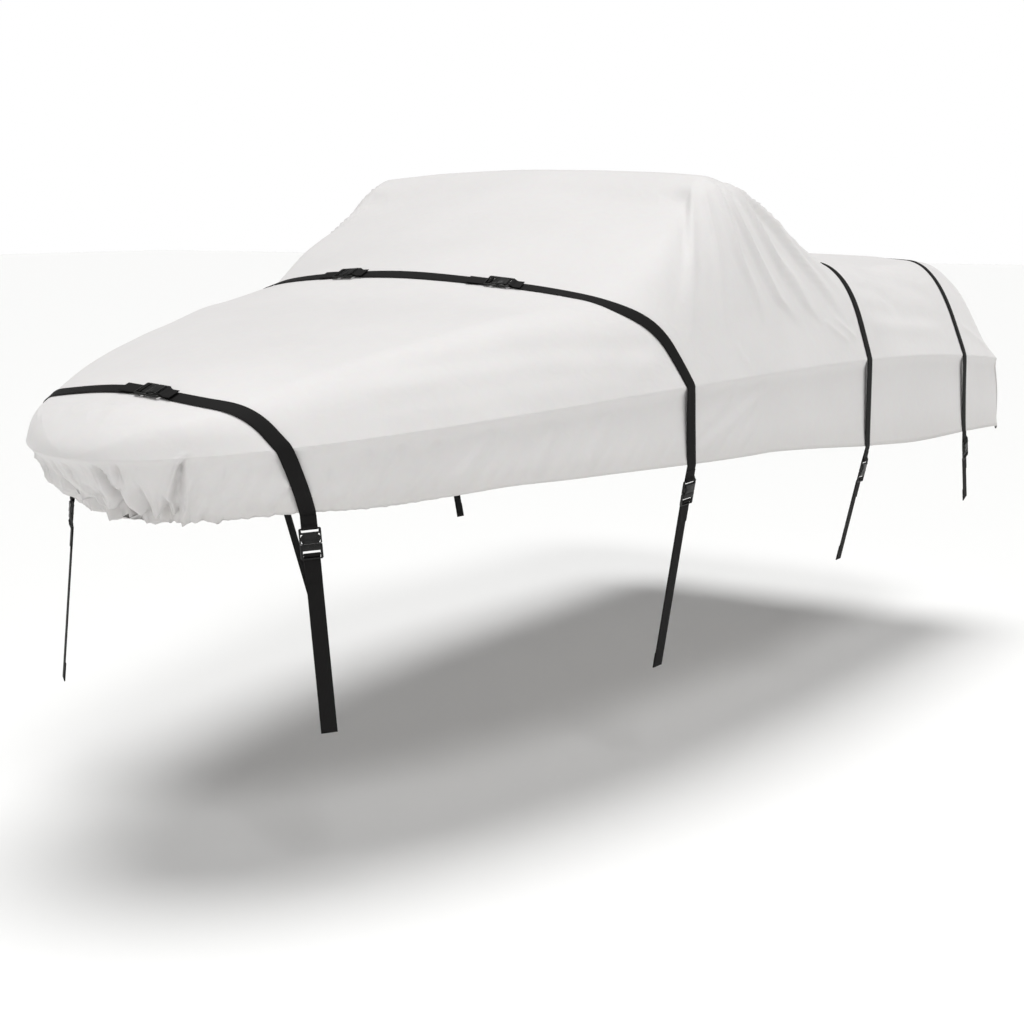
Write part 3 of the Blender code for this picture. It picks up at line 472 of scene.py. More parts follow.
def joinGrid():
    # the top's grid with rings of skirt, bow and stern below it, as one mesh of points and faces
    columns, rails = girthColumns()[None, :], railStations()
    stations = rowStation(rails[:, None], columns)
    stations[-1] = form["length"]
    port, starboard = (deckPoint(stations, columns, sign) for sign in (-1, 1))
    deck = np.concatenate([port, starboard[:, -2::-1]], axis=1)
    first = cloth["firstRings"]
    depths = np.concatenate([first * np.arange(1, 4) / 4, np.linspace(first, 1, cloth["skirtRings"] - 2)])
    port, starboard = (skirtPoint(rails[None, :], sign, depths[:, None]) for sign in (-1, 1))
    shares = deck[-1][:, 1] / halfBeam(form["length"])
    stern = sternPoint(deck[-1][None], shares[None], depths[:, None])
    for ring, k in ((port, 0), (starboard, -1)):
        stern[:, k] = (stern[:, k] + ring[:, -1]) / 2
        ring[:, -1] = stern[:, k]

    points, keys, at = [np.array([[0, 0, atStation(0.0, "rail")]])], {}, 1
    for name, block in (("deck", deck), ("bow", bowPoint(depths)), ("port", port), ("starboard", starboard),
                        ("stern", stern[:, 1:-1])):
        keys[name] = at + np.arange(block[..., 0].size).reshape(block.shape[:-1])
        points.append(block.reshape(-1, 3))
        at += block[..., 0].size
    points = np.concatenate(points)

    key = keys["deck"]
    rings = [np.concatenate([key[::-1, 0], [0], key[:, -1], key[-1, 1:-1][::-1]])]
    rings += [np.concatenate([port[::-1], [bow], starboard, stern[::-1]]) for port, bow, starboard, stern
              in zip(*(keys[name] for name in ("port", "bow", "starboard", "stern")))]
    faces = [(0, int(a), int(b)) for a, b in zip(key[0, :-1], key[0, 1:])]
    quads = [(key[:-1, :-1], key[1:, :-1], key[1:, 1:], key[:-1, 1:])]
    quads += [(upper, np.roll(upper, -1), np.roll(lower, -1), lower)
              for upper, lower in zip(rings[:-1], rings[1:])]
    faces += [tuple(map(int, q)) for block in quads for q in zip(*(side.ravel() for side in block))]

    depthOf = np.zeros(len(points))        # how far each point is down the skirt
    for ring, depth in zip(rings[1:], depths):
        depthOf[ring] = depth
    return points, faces, rings, depthOf, keys


def pointNormals(points, faces):
    quads = np.array([f if len(f) == 4 else (*f, f[2]) for f in faces])
    crossed = np.cross(points[quads[:, 2]] - points[quads[:, 0]], points[quads[:, 3]] - points[quads[:, 1]])
    total = np.zeros_like(points)
    for k in range(4):
        np.add.at(total, quads[:, k], crossed)
    return unit(total)


def easedPoints(points, faces, weight, rounds):
    # each point moves towards its neighbours' middle by its weight
    pairs = np.array([(f[k], f[(k + 1) % len(f)]) for f in faces for k in range(len(f))])
    count = np.bincount(pairs.ravel(), minlength=len(points))[:, None]
    for _ in range(rounds):
        total = np.zeros_like(points)
        np.add.at(total, pairs[:, 0], points[pairs[:, 1]])
        np.add.at(total, pairs[:, 1], points[pairs[:, 0]])
        points = points + (total / count - points) * weight[:, None]
    return points


def foldLine(entry, sign):
    # a soft curve on the form through the few given points
    line, atBow = entry["line"], entry["side"] == "bow"
    length = runAlong(line * [1, cloth["bowGirthLength" if atBow else "girthLength"]])
    steps = np.linspace(0, length[-1], cloth["linePoints"])
    line = np.stack([np.interp(steps, length, line[:, k]) for k in (0, 1)], 1)
    for _ in range(cloth["lineRounds"]):
        line[1:-1] = (line[:-2] + 2 * line[1:-1] + line[2:]) / 4
    station, girth = line.T
    if atBow:                              # the station where the rail is this far off the centreline
        fine = np.linspace(0, 1, 3001) ** 2
        sign = np.where(station < 0, -1, 1)
        station = np.interp(np.abs(station), halfBeam(fine), fine)
    return clothPoint(station, girth, sign)


def within(points, line, reach):  # the points in a box round a line
    return np.flatnonzero(np.all((points > line.min(0) - reach) & (points < line.max(0) + reach), axis=1))


def foldHeights(points, normals):
    total = np.zeros(len(points))
    for entry in folds:
        for sign in {"port": (-1,), "starboard": (1,), "bow": (-1,), "both": (-1, 1)}[entry["side"]]:
            line = foldLine(entry, sign)
            near = within(points, line, cloth["reach"] * entry["width"] * max(entry["grow"]))
            if not len(near):
                continue
            away = np.linalg.norm(points[near][:, None] - line[None], axis=2)
            k = away.argmin(axis=1)
            tangent = unit(np.gradient(line, axis=0))[k]
            offset = points[near] - line[k]
            # distance square to the line; past its ends the full distance counts
            gap = np.linalg.norm(offset - tangent * (offset * tangent).sum(1, keepdims=True), axis=1)
            gap = np.where((k == 0) | (k == len(line) - 1), away.min(axis=1), gap)
            handed = -sign * np.sign((np.cross(tangent, normals[near]) * offset).sum(1))
            along = k / (len(line) - 1)
            width = entry["width"] * np.interp(along, (0, 1), entry["grow"])
            fadeIn, fadeOut = entry["fade"]
            strength = (smoothStep(along / fadeIn + cloth["starts"])
                        * smoothStep((1 - along) / fadeOut + cloth["ends"]))
            profile = foldProfiles[entry["kind"]](handed * gap / width)
            total[near] += cloth["standOut"] * entry["height"] * strength * profile
    return total


def strapLine(name, sign, count=60):
    rail = straps[name][0]
    girths = np.concatenate([-np.linspace(1, 0, count // 3, endpoint=False), np.linspace(0, 1, count)])
    stations = np.where(girths >= 0, rowStation(rail, np.maximum(girths, 0)), rail)
    return clothPoint(stations, girths, sign)


def strapNearness(points):  # 1 under a strap, falling to 0 beside it
    total = np.zeros(len(points))
    for line in (strapLine(name, sign) for name in straps for sign in (-1, 1)):
        near = within(points, line, 0.15)
        span = np.diff(line, axis=0)
        offset = points[near][:, None] - line[None, :-1]
        t = np.clip((offset * span).sum(-1) / (span * span).sum(-1), 0, 1)
        away = np.linalg.norm(offset - t[..., None] * span, axis=2).min(axis=1)
        total[near] = np.maximum(total[near], np.exp(-(away / cloth["strapReach"]) ** 2))
    return total


def ripple(run, seed, spacing, waves=5):  # an uneven row of small waves from fixed numbers
    rng = np.random.default_rng(seed)
    total = np.zeros_like(run)
    for _ in range(waves):
        total += np.sin(run * 2 * pi / (spacing * rng.uniform(0.6, 1.7)) + rng.uniform(0, 2 * pi))
    return total / 3


def slackWaves(points, seed, size, waves=14):  # broad, very low unevenness of taut cloth
    rng = np.random.default_rng(seed)
    total = np.zeros(len(points))
    for _ in range(waves):
        direction = rng.normal(size=3) * [1, 1.3, 1.0]
        direction = direction / np.linalg.norm(direction) * 2 * pi / (size * rng.uniform(0.6, 1.8))
        total += np.sin(points @ direction + rng.uniform(0, 2 * pi))
    return total / waves ** 0.5


def buildCloth():
    points, faces, rings, depthOf, keys = joinGrid()
    key = keys["deck"]
    normals = pointNormals(points, faces)
    if normals[key[len(key) // 2, key.shape[1] // 2]][2] < 0:
        faces = [f[::-1] for f in faces]
        normals = -normals
    under = strapNearness(points)

    # ease the rail's edge and the stern's edge into a soft round
    weight = np.zeros(len(points))
    for ring, amount in zip(rings, cloth["edgeEase"]):
        weight[ring] = amount
    for k, amount in enumerate(cloth["columnEase"], 1):
        weight[key[:, [k, -1 - k]]] = amount
    last = key[-cloth["sternRows"]:]
    weight[last] = np.maximum(weight[last], cloth["sternEase"])
    points = easedPoints(points, faces, weight, 4)

    heights = foldHeights(points, normals) * (1 - cloth["strapFlattens"] * under)
    heights -= cloth["strapPress"] * under
    for height, seed, size in cloth["waves"]:
        heights += height * slackWaves(points, seed, size) * (1 - under)
    onTop = points[:, 2] > atStation(cloth["slackStation"], "rail") + cloth["slackAboveRail"]
    across = smoothStep((cloth["slackHalf"] - np.abs(points[:, 1])) / cloth["slackFade"]) * onTop
    along = (points[:, 0] - cloth["slackStation"]) / cloth["slackWidth"]
    heights += cloth["slackHeight"] * across * np.exp(-along ** 2)

    # the hem: a rolled channel with the drawcord in it, a stitched line above, gathers that die out upwards
    for ring in rings[1:]:
        depth, loop = depthOf[ring], points[ring]
        run = runAlong(loop)
        drop = atStation(np.clip(loop[:, 0], 0, form["length"]), "drop")
        above, below = (1 - depth) * drop, depth * drop
        atBow = smoothStep((hem["bowEnds"] - loop[:, 0]) / hem["bowFade"])
        reach, height = (hem[size][0] + hem[size][1] * atBow for size in ("reach", "height"))
        gather = ripple(run * hem["around"] / run[-1], hem["seed"], hem["spacing"])
        gather *= np.exp(-above / reach) * height
        recess = cloth["recess"] * (1 - np.exp(-(below / cloth["recessStart"]) ** 2))
        recess *= (1 - depth) ** cloth["recessFade"]
        heights[ring] *= 1 - hem["heldIn"] * smoothStep((depth - hem["heldFrom"]) / (1 - hem["heldFrom"]))
        for proud, middle, width in (hem["channel"], hem["stitching"]):
            heights[ring] += proud * np.exp(-((above - middle) / width) ** 2)
        heights[ring] += gather - recess
    points = points + normals * heights[:, None]
    points = easedPoints(points, faces, np.full(len(points), 0.25), 1)
    print("cloth laid:", len(points), "points")
    return points - peak, faces, pointNormals(points, faces), rings, depthOf, keys


clothPoints, clothFaces, clothNormals, clothRings, clothDepth, clothKeys = buildCloth()


def clothSheet():
    # the sheet, with its hem turned up inside
    count, edge = len(clothPoints), clothRings[-1]
    turnedUp = clothRings[-1:-1 - hem["turnedUp"]:-1]
    inside = [clothPoints[ring] - clothNormals[ring] * cloth["thick"] for ring in turnedUp]
    keysInside = [edge] + [count + len(edge) * k + np.arange(len(edge)) for k in range(len(turnedUp))]
    first = next(f for f in clothFaces if edge[0] in f and edge[1] in f)
    forward = first[(first.index(int(edge[0])) + 1) % len(first)] == edge[1]
    faces = list(clothFaces)
    for upper, lower in zip(keysInside[:-1], keysInside[1:]):
        for a, b, c, d in zip(upper, np.roll(upper, -1), np.roll(lower, -1), lower):
            faces.append(tuple(map(int, (b, a, d, c) if forward else (a, b, c, d))))
    source = np.concatenate([np.arange(count), *turnedUp])      # the outer point behind each point
    mesh = bpy.data.meshes.new("cover")
    mesh.from_pydata(np.concatenate([clothPoints, *inside]).tolist(), [], faces)

    # the flat pattern in metres: along the cover, and across it from the centreline down to the hem
    deck, fall = clothKeys["deck"], clothDepth * cloth["patternDrop"]
    stepAcross = np.linalg.norm(np.diff(clothPoints[deck], axis=1), axis=2)
    runAcross = np.concatenate([np.zeros((len(deck), 1)), np.cumsum(stepAcross, axis=1)], axis=1)
    runAcross -= runAcross[:, [deck.shape[1] // 2]]
    flat = np.stack([clothPoints[:, 0], np.zeros(count)], 1)
    flat[deck, 1] = runAcross
    port, starboard, bow, stern = (clothKeys[name] for name in ("port", "starboard", "bow", "stern"))
    flat[port, 1], flat[starboard, 1] = runAcross[:, 0] - fall[port], runAcross[:, -1] + fall[starboard]
    flat[bow, 0] = clothPoints[0][0] - fall[bow]
    flat[stern, 0] = clothPoints[deck[-1, 1:-1]][:, 0] + fall[stern]
    flat[stern, 1] = runAcross[-1, 1:-1]
    setPattern(mesh, flat[source])

    # how far down the skirt a point lies, for the dust and painted shade above the hem
    depthNote = mesh.attributes.new("hemDepth", "FLOAT", "POINT")
    depthNote.data.foreach_set("value", clothDepth[source])
    mesh.update()
    mesh.validate()
    mesh.shade_smooth()
    return mesh


# coated polyester, woven and solution-dyed: matte, faintly warm off-white, a very soft sheen at low angles
def makeClothMaterial():
    made, tree, shader = newMaterial("coatedPolyesterCloth", {
        "Roughness": 0.68, "IOR": 1.46, "Sheen Weight": 0.12, "Sheen Roughness": 0.5})
    where = addNode(tree, "TexCoord", {}), "Object"
    pattern = addNode(tree, "UVMap", {}, uv_map="pattern"), "UV"
    # blotches of about 0.4 m, mottling of 28 mm and crumples of 70 mm, each the inverse of its scale
    blotch = addNode(tree, "TexNoise", {"Scale": 2.6, "Detail": 3.0, "Roughness": 0.55, "Vector": where})
    fine = addNode(tree, "TexNoise", {"Scale": 36.0, "Detail": 4.0, "Roughness": 0.6, "Vector": where})
    crumple = addNode(tree, "TexNoise", {
        "Scale": 14.0, "Detail": 3.0, "Roughness": 0.5, "Distortion": 0.6, "Vector": where})
    tone = addNode(tree, "MixRGB", {"Color1": "#d8d6d5", "Color2": "#dfdddc", "Fac": (blotch, "Fac")})
    speck = addNode(tree, "MixRGB", {"Fac": 0.06, "Color1": (tone, "Color"), "Color2": (fine, "Color")},
                    blend_type="MULTIPLY")
    # a little road dust above the hem, and painted shade: the lower skirt's colour is darkened towards the
    # hem
    depth = addNode(tree, "Attribute", {}, attribute_name="hemDepth", attribute_type="GEOMETRY")
    dustAndShadeAmount = addNode(tree, "MapRange", {
        "From Min": 0.55, "From Max": 1.05, "To Min": 0.0, "To Max": 0.16, "Value": (depth, "Fac")},
        interpolation_type="SMOOTHSTEP")
    # painted shade and dust: the cloth's colour is multiplied darker and warmer towards the hem
    dustedAndShaded = addNode(tree, "MixRGB", {
        "Fac": (dustAndShadeAmount, "Result"), "Color1": (speck, "Color"), "Color2": "#c9c4bb"}, blend_type="MULTIPLY")
    # threads are 0.4 mm apart, too fine to show, so the weave is drawn at 3 mm
    warp, weft = (addNode(tree, "TexWave", {
        "Scale": waveScale(0.003), "Distortion": 0.4, "Detail": 1.0, "Vector": pattern},
        bands_direction=turned) for turned in ("X", "Y"))
    weave = addNode(tree, "Math", {0: (warp, "Fac"), 1: (weft, "Fac")}, operation="MULTIPLY")
    soft = addNode(tree, "Bump", {"Strength": 0.35, "Distance": 0.006, "Height": (crumple, "Fac")})
    woven = addNode(tree, "Bump", {
        "Strength": 0.18, "Distance": 0.0004, "Height": (weave, "Value"), "Normal": (soft, "Normal")})
    rough = addNode(tree, "MapRange", {
        "From Min": 0.3, "From Max": 0.7, "To Min": 0.6, "To Max": 0.75, "Value": (fine, "Fac")})
    setInputs(tree, shader, {
        "Base Color": (dustedAndShaded, "Color"), "Normal": (woven, "Normal"), "Roughness": (rough, "Result")})
    return made


# black polyester webbing, woven in a heavy rib: dull, with a painted highlight on the rib tops and painted
# shade in the grooves between them
def makeWebbingMaterial():
    made, tree, shader = newMaterial("wovenBlackWebbing", {
        "Roughness": 0.75, "IOR": 1.45, "Specular IOR Level": 0.25})
    where = addNode(tree, "TexCoord", {}), "Object"
    pattern = addNode(tree, "UVMap", {}, uv_map="pattern"), "UV"
    # the picks are 1.6 mm apart and the warp cords 2 mm, too fine to show, so both are drawn twice as coarse
    picks, cords = (addNode(tree, "TexWave", {
        "Scale": waveScale(spacing), "Distortion": uneven, "Vector": pattern}, bands_direction=turned)
        for turned, spacing, uneven in (("Y", 0.0032, 0.2), ("X", 0.004, 0.1)))
    both = addNode(tree, "Math", {0: (picks, "Fac"), 1: (cords, "Fac")}, operation="MULTIPLY")
    fuzz = addNode(tree, "TexNoise", {"Scale": 60.0, "Detail": 3.0, "Vector": where})        # tufts of 17 mm
    # painted highlight and shade: the weave's height makes the rib tops lighter and the grooves darker
    tone = addNode(tree, "MixRGB", {"Color1": "#0a0909", "Color2": "#1b1918", "Fac": (both, "Value")})
    ribHighlightAndWear = addNode(tree, "MixRGB", {"Fac": 0.25, "Color1": (tone, "Color"), "Color2": (fuzz, "Color")},
                   blend_type="MULTIPLY")
    bump = addNode(tree, "Bump", {"Strength": 0.6, "Distance": 0.0006, "Height": (both, "Value")})
    setInputs(tree, shader, {"Base Color": (ribHighlightAndWear, "Color"), "Normal": (bump, "Normal")})
    return made


# black acetal, injection moulded with a fine spark finish: satin, with soft highlights on the edges
def makeBuckleMaterial():
    made, tree, shader = newMaterial("mouldedBlackAcetal", {
        "Roughness": 0.38, "IOR": 1.48, "Specular IOR Level": 0.35})
    where = addNode(tree, "TexCoord", {}), "Object"
    # the spark grit is drawn at 1 mm, because its real 0.1 mm is too fine to show
    grit = addNode(tree, "TexNoise", {"Scale": 900.0, "Detail": 2.0, "Vector": where})
    cloud = addNode(tree, "TexNoise", {"Scale": 40.0, "Detail": 3.0, "Vector": where})
    tone = addNode(tree, "MixRGB", {"Color1": "#090909", "Color2": "#121211", "Fac": (cloud, "Fac")})
    rough = addNode(tree, "MapRange", {
        "From Min": 0.35, "From Max": 0.65, "To Min": 0.32, "To Max": 0.46, "Value": (cloud, "Fac")})
    bump = addNode(tree, "Bump", {"Strength": 0.25, "Distance": 0.0002, "Height": (grit, "Fac")})
    setInputs(tree, shader, {
        "Base Color": (tone, "Color"), "Normal": (bump, "Normal"), "Roughness": (rough, "Result")})
    return made


# braided black polyester cord: dull, with the braid's slanting strands, painted lighter on their crests and
# darker between them as painted highlight and shade
def makeCordMaterial():
    made, tree, shader = newMaterial("braidedBlackCord", {"Roughness": 0.65, "IOR": 1.5, "Sheen Weight": 0.2})
    where = addNode(tree, "TexCoord", {}), "Object"
    strands = addNode(tree, "TexWave", {"Scale": 30.0, "Distortion": 1.0, "Vector": where},
                      bands_direction="DIAGONAL")
    # painted highlight and shade: the strands' wave makes their crests lighter and the gaps darker
    tone = addNode(tree, "MixRGB", {"Color1": "#121212", "Color2": "#2a2826", "Fac": (strands, "Fac")})
    bump = addNode(tree, "Bump", {"Strength": 0.5, "Distance": 0.0005, "Height": (strands, "Fac")})
    setInputs(tree, shader, {"Base Color": (tone, "Color"), "Normal": (bump, "Normal")})
    return made


clothMaterial, webbingMaterial = makeClothMaterial(), makeWebbingMaterial()
buckleMaterial, cordMaterial = makeBuckleMaterial(), makeCordMaterial()

cover = addPiece("coverCloth", clothSheet(), clothMaterial, "cover")
print("cover made")


# the drawcord's bight under the port stern corner

cordSizes = {"radius": 0.0025, "loop": 0.030, "sag": 0.012, "fromCorner": 0.012, "air": 0.0010, "points": 25}


def newCurve(name, dimensions, bevel, resolution, outlines, closed):
    data = bpy.data.curves.new(name, "CURVE")
    data.dimensions = dimensions
    data.bevel_depth, data.bevel_resolution = bevel, resolution
    for outline in outlines:
        spline = data.splines.new("POLY")
        spline.points.add(len(outline) - 1)
        for point, where in zip(spline.points, outline):
            point.co = (*where, 0)[:3] + (1,)      # a flat outline gets a height of 0
        spline.use_cyclic_u = closed
    return data


def buildCord():
    portHem = clothPoints[clothKeys["port"][-1]]
    corner, fore = portHem[-1], portHem[-6]
    along, down = unit(fore - corner), np.array([0, 0, -1.0])
    start = corner + np.array([0, cloth["thick"] / 2, -cordSizes["air"]])
    route = [start + along * (cordSizes["fromCorner"] + cordSizes["loop"] * (1 - cos(a)) / 2)
             + down * cordSizes["sag"] * sin(a) for a in np.linspace(0, pi, cordSizes["points"])]
    data = newCurve("hemCord", "3D", cordSizes["radius"], 4, [route], False)
    data.use_fill_caps = True
    cord = addPiece("hemCord", data, cordMaterial, "hem_cord")


buildCord()


# webbing and buckles

web = {"width": 0.050, "thick": 0.0020, "air": 0.0006, "step": 0.008, "seat": 0.0003, "hair": 0.0001,
       "sewnBack": 0.036, "closed": 0.014, "tail": 0.070, "footFold": 0.060, "selvedge": 0.0006,
       # how far past a buckle's end the webbing starts, folds, leaves and hangs straight, and its top room
       "lead": 0.004, "fold": 0.001, "exit": 0.003, "straight": 0.012, "room": 0.030}
buckle = {"length": 0.095, "width": 0.068, "plate": 0.006, "body": 0.012, "bar": 0.004, "slotWidth": 0.053,
          "slotLength": 0.009, "waist": 0.040, "flare": 0.0085, "rail": 0.0045, "inset": 0.006,
          "corner": 0.004, "nick": 0.0015, "sink": 0.002, "lift": 0.0066, "tongue": 0.020, "window": 0.0085,
          "ribs": 3, "ribStep": 0.0042, "ribWidth": 0.0018}
clear = web["seat"] + web["thick"] / 2
layer = web["seat"] + web["thick"]
sewnBar = buckle["length"] / 2 - buckle["bar"]
innerBar = sewnBar - buckle["slotLength"]

clothTree = BVHTree.FromPolygons([tuple(p) for p in clothPoints], clothFaces)


def onCloth(point):
    where, _, face, _ = clothTree.find_nearest(Vector(point))
    k = list(clothFaces[face])
    weights = 1 / (np.linalg.norm(clothPoints[k] - np.array(where), axis=1) + 1e-5)
    return np.array(where), unit((clothNormals[k] * weights[:, None]).sum(0))


def layString(points, air, rounds=24):
    # a taut line over the cloth: it bridges hollows and never sinks in
    points = points.copy()
    normals = np.array([onCloth(p)[1] for p in points])
    for _ in range(rounds):
        mean = (points[:-2] + points[2:]) / 2
        pull = ((mean - points[1:-1]) * normals[1:-1]).sum(1, keepdims=True)
        points[1:-1] += normals[1:-1] * np.clip(pull, -1, 1) * 0.5
        for k, point in enumerate(points):
            where, normal = onCloth(point)
            points[k] += normal * max(air - (point - where) @ normal, 0)
    return points


def strapPath(name):
    # the strap's middle line from the port hem over to the starboard hem, in even steps
    line = np.concatenate([strapLine(name, -1, 90), strapLine(name, 1, 90)[-2::-1]]) - peak
    run = runAlong(line)
    steps = np.linspace(0, run[-1], int(run[-1] / web["step"]) + 1)
    return np.stack([np.interp(steps, run, line[:, k]) for k in range(3)], 1)


def layWebbing(name):
    # rows of (middle, across, up) on the cloth
    line = strapPath(name)
    normals = np.array([onCloth(p)[1] for p in line])
    for _ in range(3):
        normals[1:-1] = unit(normals[:-2] + 2 * normals[1:-1] + normals[2:])
    across, half = unit(np.cross(normals, unit(np.gradient(line, axis=0)))), web["width"] / 2
    strings = [layString(line + across * half * share, web["air"]) for share in (-1, -0.5, 0, 0.5, 1)]
    left, right = strings[0], strings[-1]
    across, middle = unit(right - left), (left + right) / 2
    up = unit(np.cross(unit(np.gradient(middle, axis=0)), across))
    up = np.where(((up * normals).sum(1) < 0)[:, None], -up, up)
    lift = np.max([((string - middle) * up).sum(1) for string in strings], axis=0)
    for _ in range(2):
        lift[1:-1] = np.maximum(lift[1:-1], (lift[:-2] + lift[2:]) / 2)
    middle = middle + up * (lift + web["thick"] / 2)[:, None]
    return list(zip(middle, across, up))


class Seat:
    # a buckle's own frame: u towards the adjuster, w across, n outwards
    def __init__(self, centre, along, across, lift):
        self.u = unit(along)
        self.w = unit(across - self.u * (across @ self.u))
        self.n = np.cross(self.u, self.w)
        self.centre = centre + self.n * lift

    def row(self, u, n, turn):
        return (self.centre + self.u * u + self.n * n, self.w, self.n * cos(turn) - self.u * sin(turn))

    def matrix(self):
        turned = Matrix(np.column_stack([self.u, self.w, self.n]).tolist())
        return Matrix.Translation(Vector(self.centre)) @ turned.to_4x4()


def outwardSeat(centre, along, across, outward, lift=0):  # a seat whose buckle faces away from the cloth
    seat = Seat(centre, along, across, lift)
    return seat if seat.n @ outward >= 0 else Seat(centre, along, -across, lift)


def roundBar(seat, u, n, angles, turns, radius=clear):
    # rows that turn round a bar's corner; angles and turns are in quarter turns
    return [seat.row(u + radius * cos(angle), n + radius * sin(angle), turn)
            for angle, turn in zip(np.linspace(*angles, 5) * pi / 2, np.linspace(*turns, 5) * pi / 2)]


def sewnLoop(seat):
    # webbing comes from -u, turns up round the fixed bar and is sewn back down on itself
    plate, outer, closed = buckle["plate"], -buckle["length"] / 2, web["closed"]
    high, low = plate + clear, layer - clear + web["hair"]
    start, sewn = outer - web["fold"], web["sewnBack"] - closed
    rows = [seat.row(outer - web["lead"], -clear, 0), seat.row(outer, -clear, 0)]
    rows += roundBar(seat, -sewnBar, 0, (-1, 0), (0, 1)) + roundBar(seat, -sewnBar, plate, (0, 1), (1, 2))
    rows.append(seat.row(outer, high, pi))
    for t in np.linspace(0.15, 1, 7):
        slope = atan2((high - low) * 6 * t * (1 - t), closed)
        rows.append(seat.row(start - closed * t, high + (low - high) * float(smoothStep(t)), pi - slope))
    return rows + [seat.row(start - closed - sewn * t, low, pi) for t in (0.3, 0.65, 1)]


def adjusterLoop(seat):
    # webbing comes from +u under both bars, turns round the inner one and leaves on top of itself
    plate, outer, main, low = buckle["plate"], buckle["length"] / 2, -clear - layer, -clear
    far, near = innerBar - buckle["bar"], innerBar
    rows = [seat.row(outer + web["lead"], main, 0), seat.row(sewnBar, main, 0)]
    rows += [seat.row(near + (sewnBar - near) * (1 - t), main + (low - main) * float(smoothStep(t)), 0)
             for t in (0.3, 0.6, 1)]
    rows += roundBar(seat, far, 0, (-1, -2), (0, -1)) + roundBar(seat, far, plate, (2, 1), (-1, -2))
    rows += roundBar(seat, near, plate, (1, 0), (-2, -3), clear + web["hair"])
    rows += roundBar(seat, sewnBar, 0, (2, 3), (-3, -2))
    rows.append(seat.row(outer + web["exit"], low, -pi))
    return rows + [seat.row(outer + web["tail"] * t, low + web["hair"], -pi) for t in (0.3, 0.6, 0.9, 1)]


def hangingRows(seat, length):
    # from the adjuster down to the foot, where the webbing turns back and is sewn
    main, first, bend = -clear - layer, buckle["length"] / 2 + web["straight"], layer / 2
    rows = adjusterLoop(seat)[::-1]
    rows += [seat.row(first + (length - first) * t, main, 0) for t in np.linspace(0, 1, 12)]
    rows += [seat.row(length + bend * sin(t), main - bend * (1 - cos(t)), -t)
             for t in np.linspace(0.3, pi, 6)]
    return rows + [seat.row(length - web["footFold"] * t, main - layer, -pi) for t in (0.3, 0.6, 0.9, 1)]


def addWebbing(name, rows, node):
    # a flat woven band with slightly rounded selvedges, with flat pattern coordinates in metres
    half, thick = web["width"] / 2, web["thick"] / 2
    edge = [(-half, 0.45), (web["selvedge"] - half, 1), (-half / 2, 1), (0, 1), (half / 2, 1),
            (half - web["selvedge"], 1), (half, 0.45)]
    outline = [(a, -thick * b) for a, b in edge] + [(a, thick * b) for a, b in reversed(edge)]
    size = len(outline)
    points = [middle + across * a + up * b for middle, across, up in rows for a, b in outline]
    faces = [(r + k, r + (k + 1) % size, r + size + (k + 1) % size, r + size + k)
             for r in range(0, size * (len(rows) - 1), size) for k in range(size)]
    faces += [tuple(range(size))[::-1], tuple(range(len(points) - size, len(points)))]
    mesh = bpy.data.meshes.new(name)
    mesh.from_pydata([tuple(p) for p in points], [], faces)
    made = bmesh.new()
    made.from_mesh(mesh)
    bmesh.ops.recalc_face_normals(made, faces=made.faces)
    made.to_mesh(mesh)
    made.free()
    run = runAlong(np.array([row[0] for row in rows]))
    setPattern(mesh, np.array([(a, along) for along in run for a, _ in outline]))
    mesh.shade_smooth()
    mesh.set_sharp_from_angle(angle=radians(50))
    return addPiece(name, mesh, webbingMaterial, node)


def bevelledPlate(outlines, low, high, edge):
    # a flat moulding with rounded edges from closed outlines, where the inner ones are holes
    data = newCurve("plate", "2D", edge, 1, outlines, True)
    data.fill_mode, data.extrude, data.offset = "BOTH", (high - low) / 2 - edge, -edge
    made = place("plate", data)
    mesh = bpy.data.meshes.new_from_object(made.evaluated_get(bpy.context.evaluated_depsgraph_get()))
    mesh.transform(Matrix.Translation((0, 0, (low + high) / 2)))
    bpy.data.objects.remove(made, do_unlink=True)
    bpy.data.curves.remove(data)
    return mesh


def roundedBox(x0, x1, y0, y1, radius, steps=4):
    left, right, low, high = x0 + radius, x1 - radius, y0 + radius, y1 - radius
    points = []
    for quarter, (x, y) in enumerate(((right, high), (left, high), (left, low), (right, low))):
        for angle in np.linspace(quarter, quarter + 1, steps + 1) * pi / 2:
            points.append((x + radius * cos(angle), y + radius * sin(angle)))
    return points


def mirrored(points):  # a closed outline from its half on the +y side
    return points + [(x, -y) for x, y in reversed(points)]


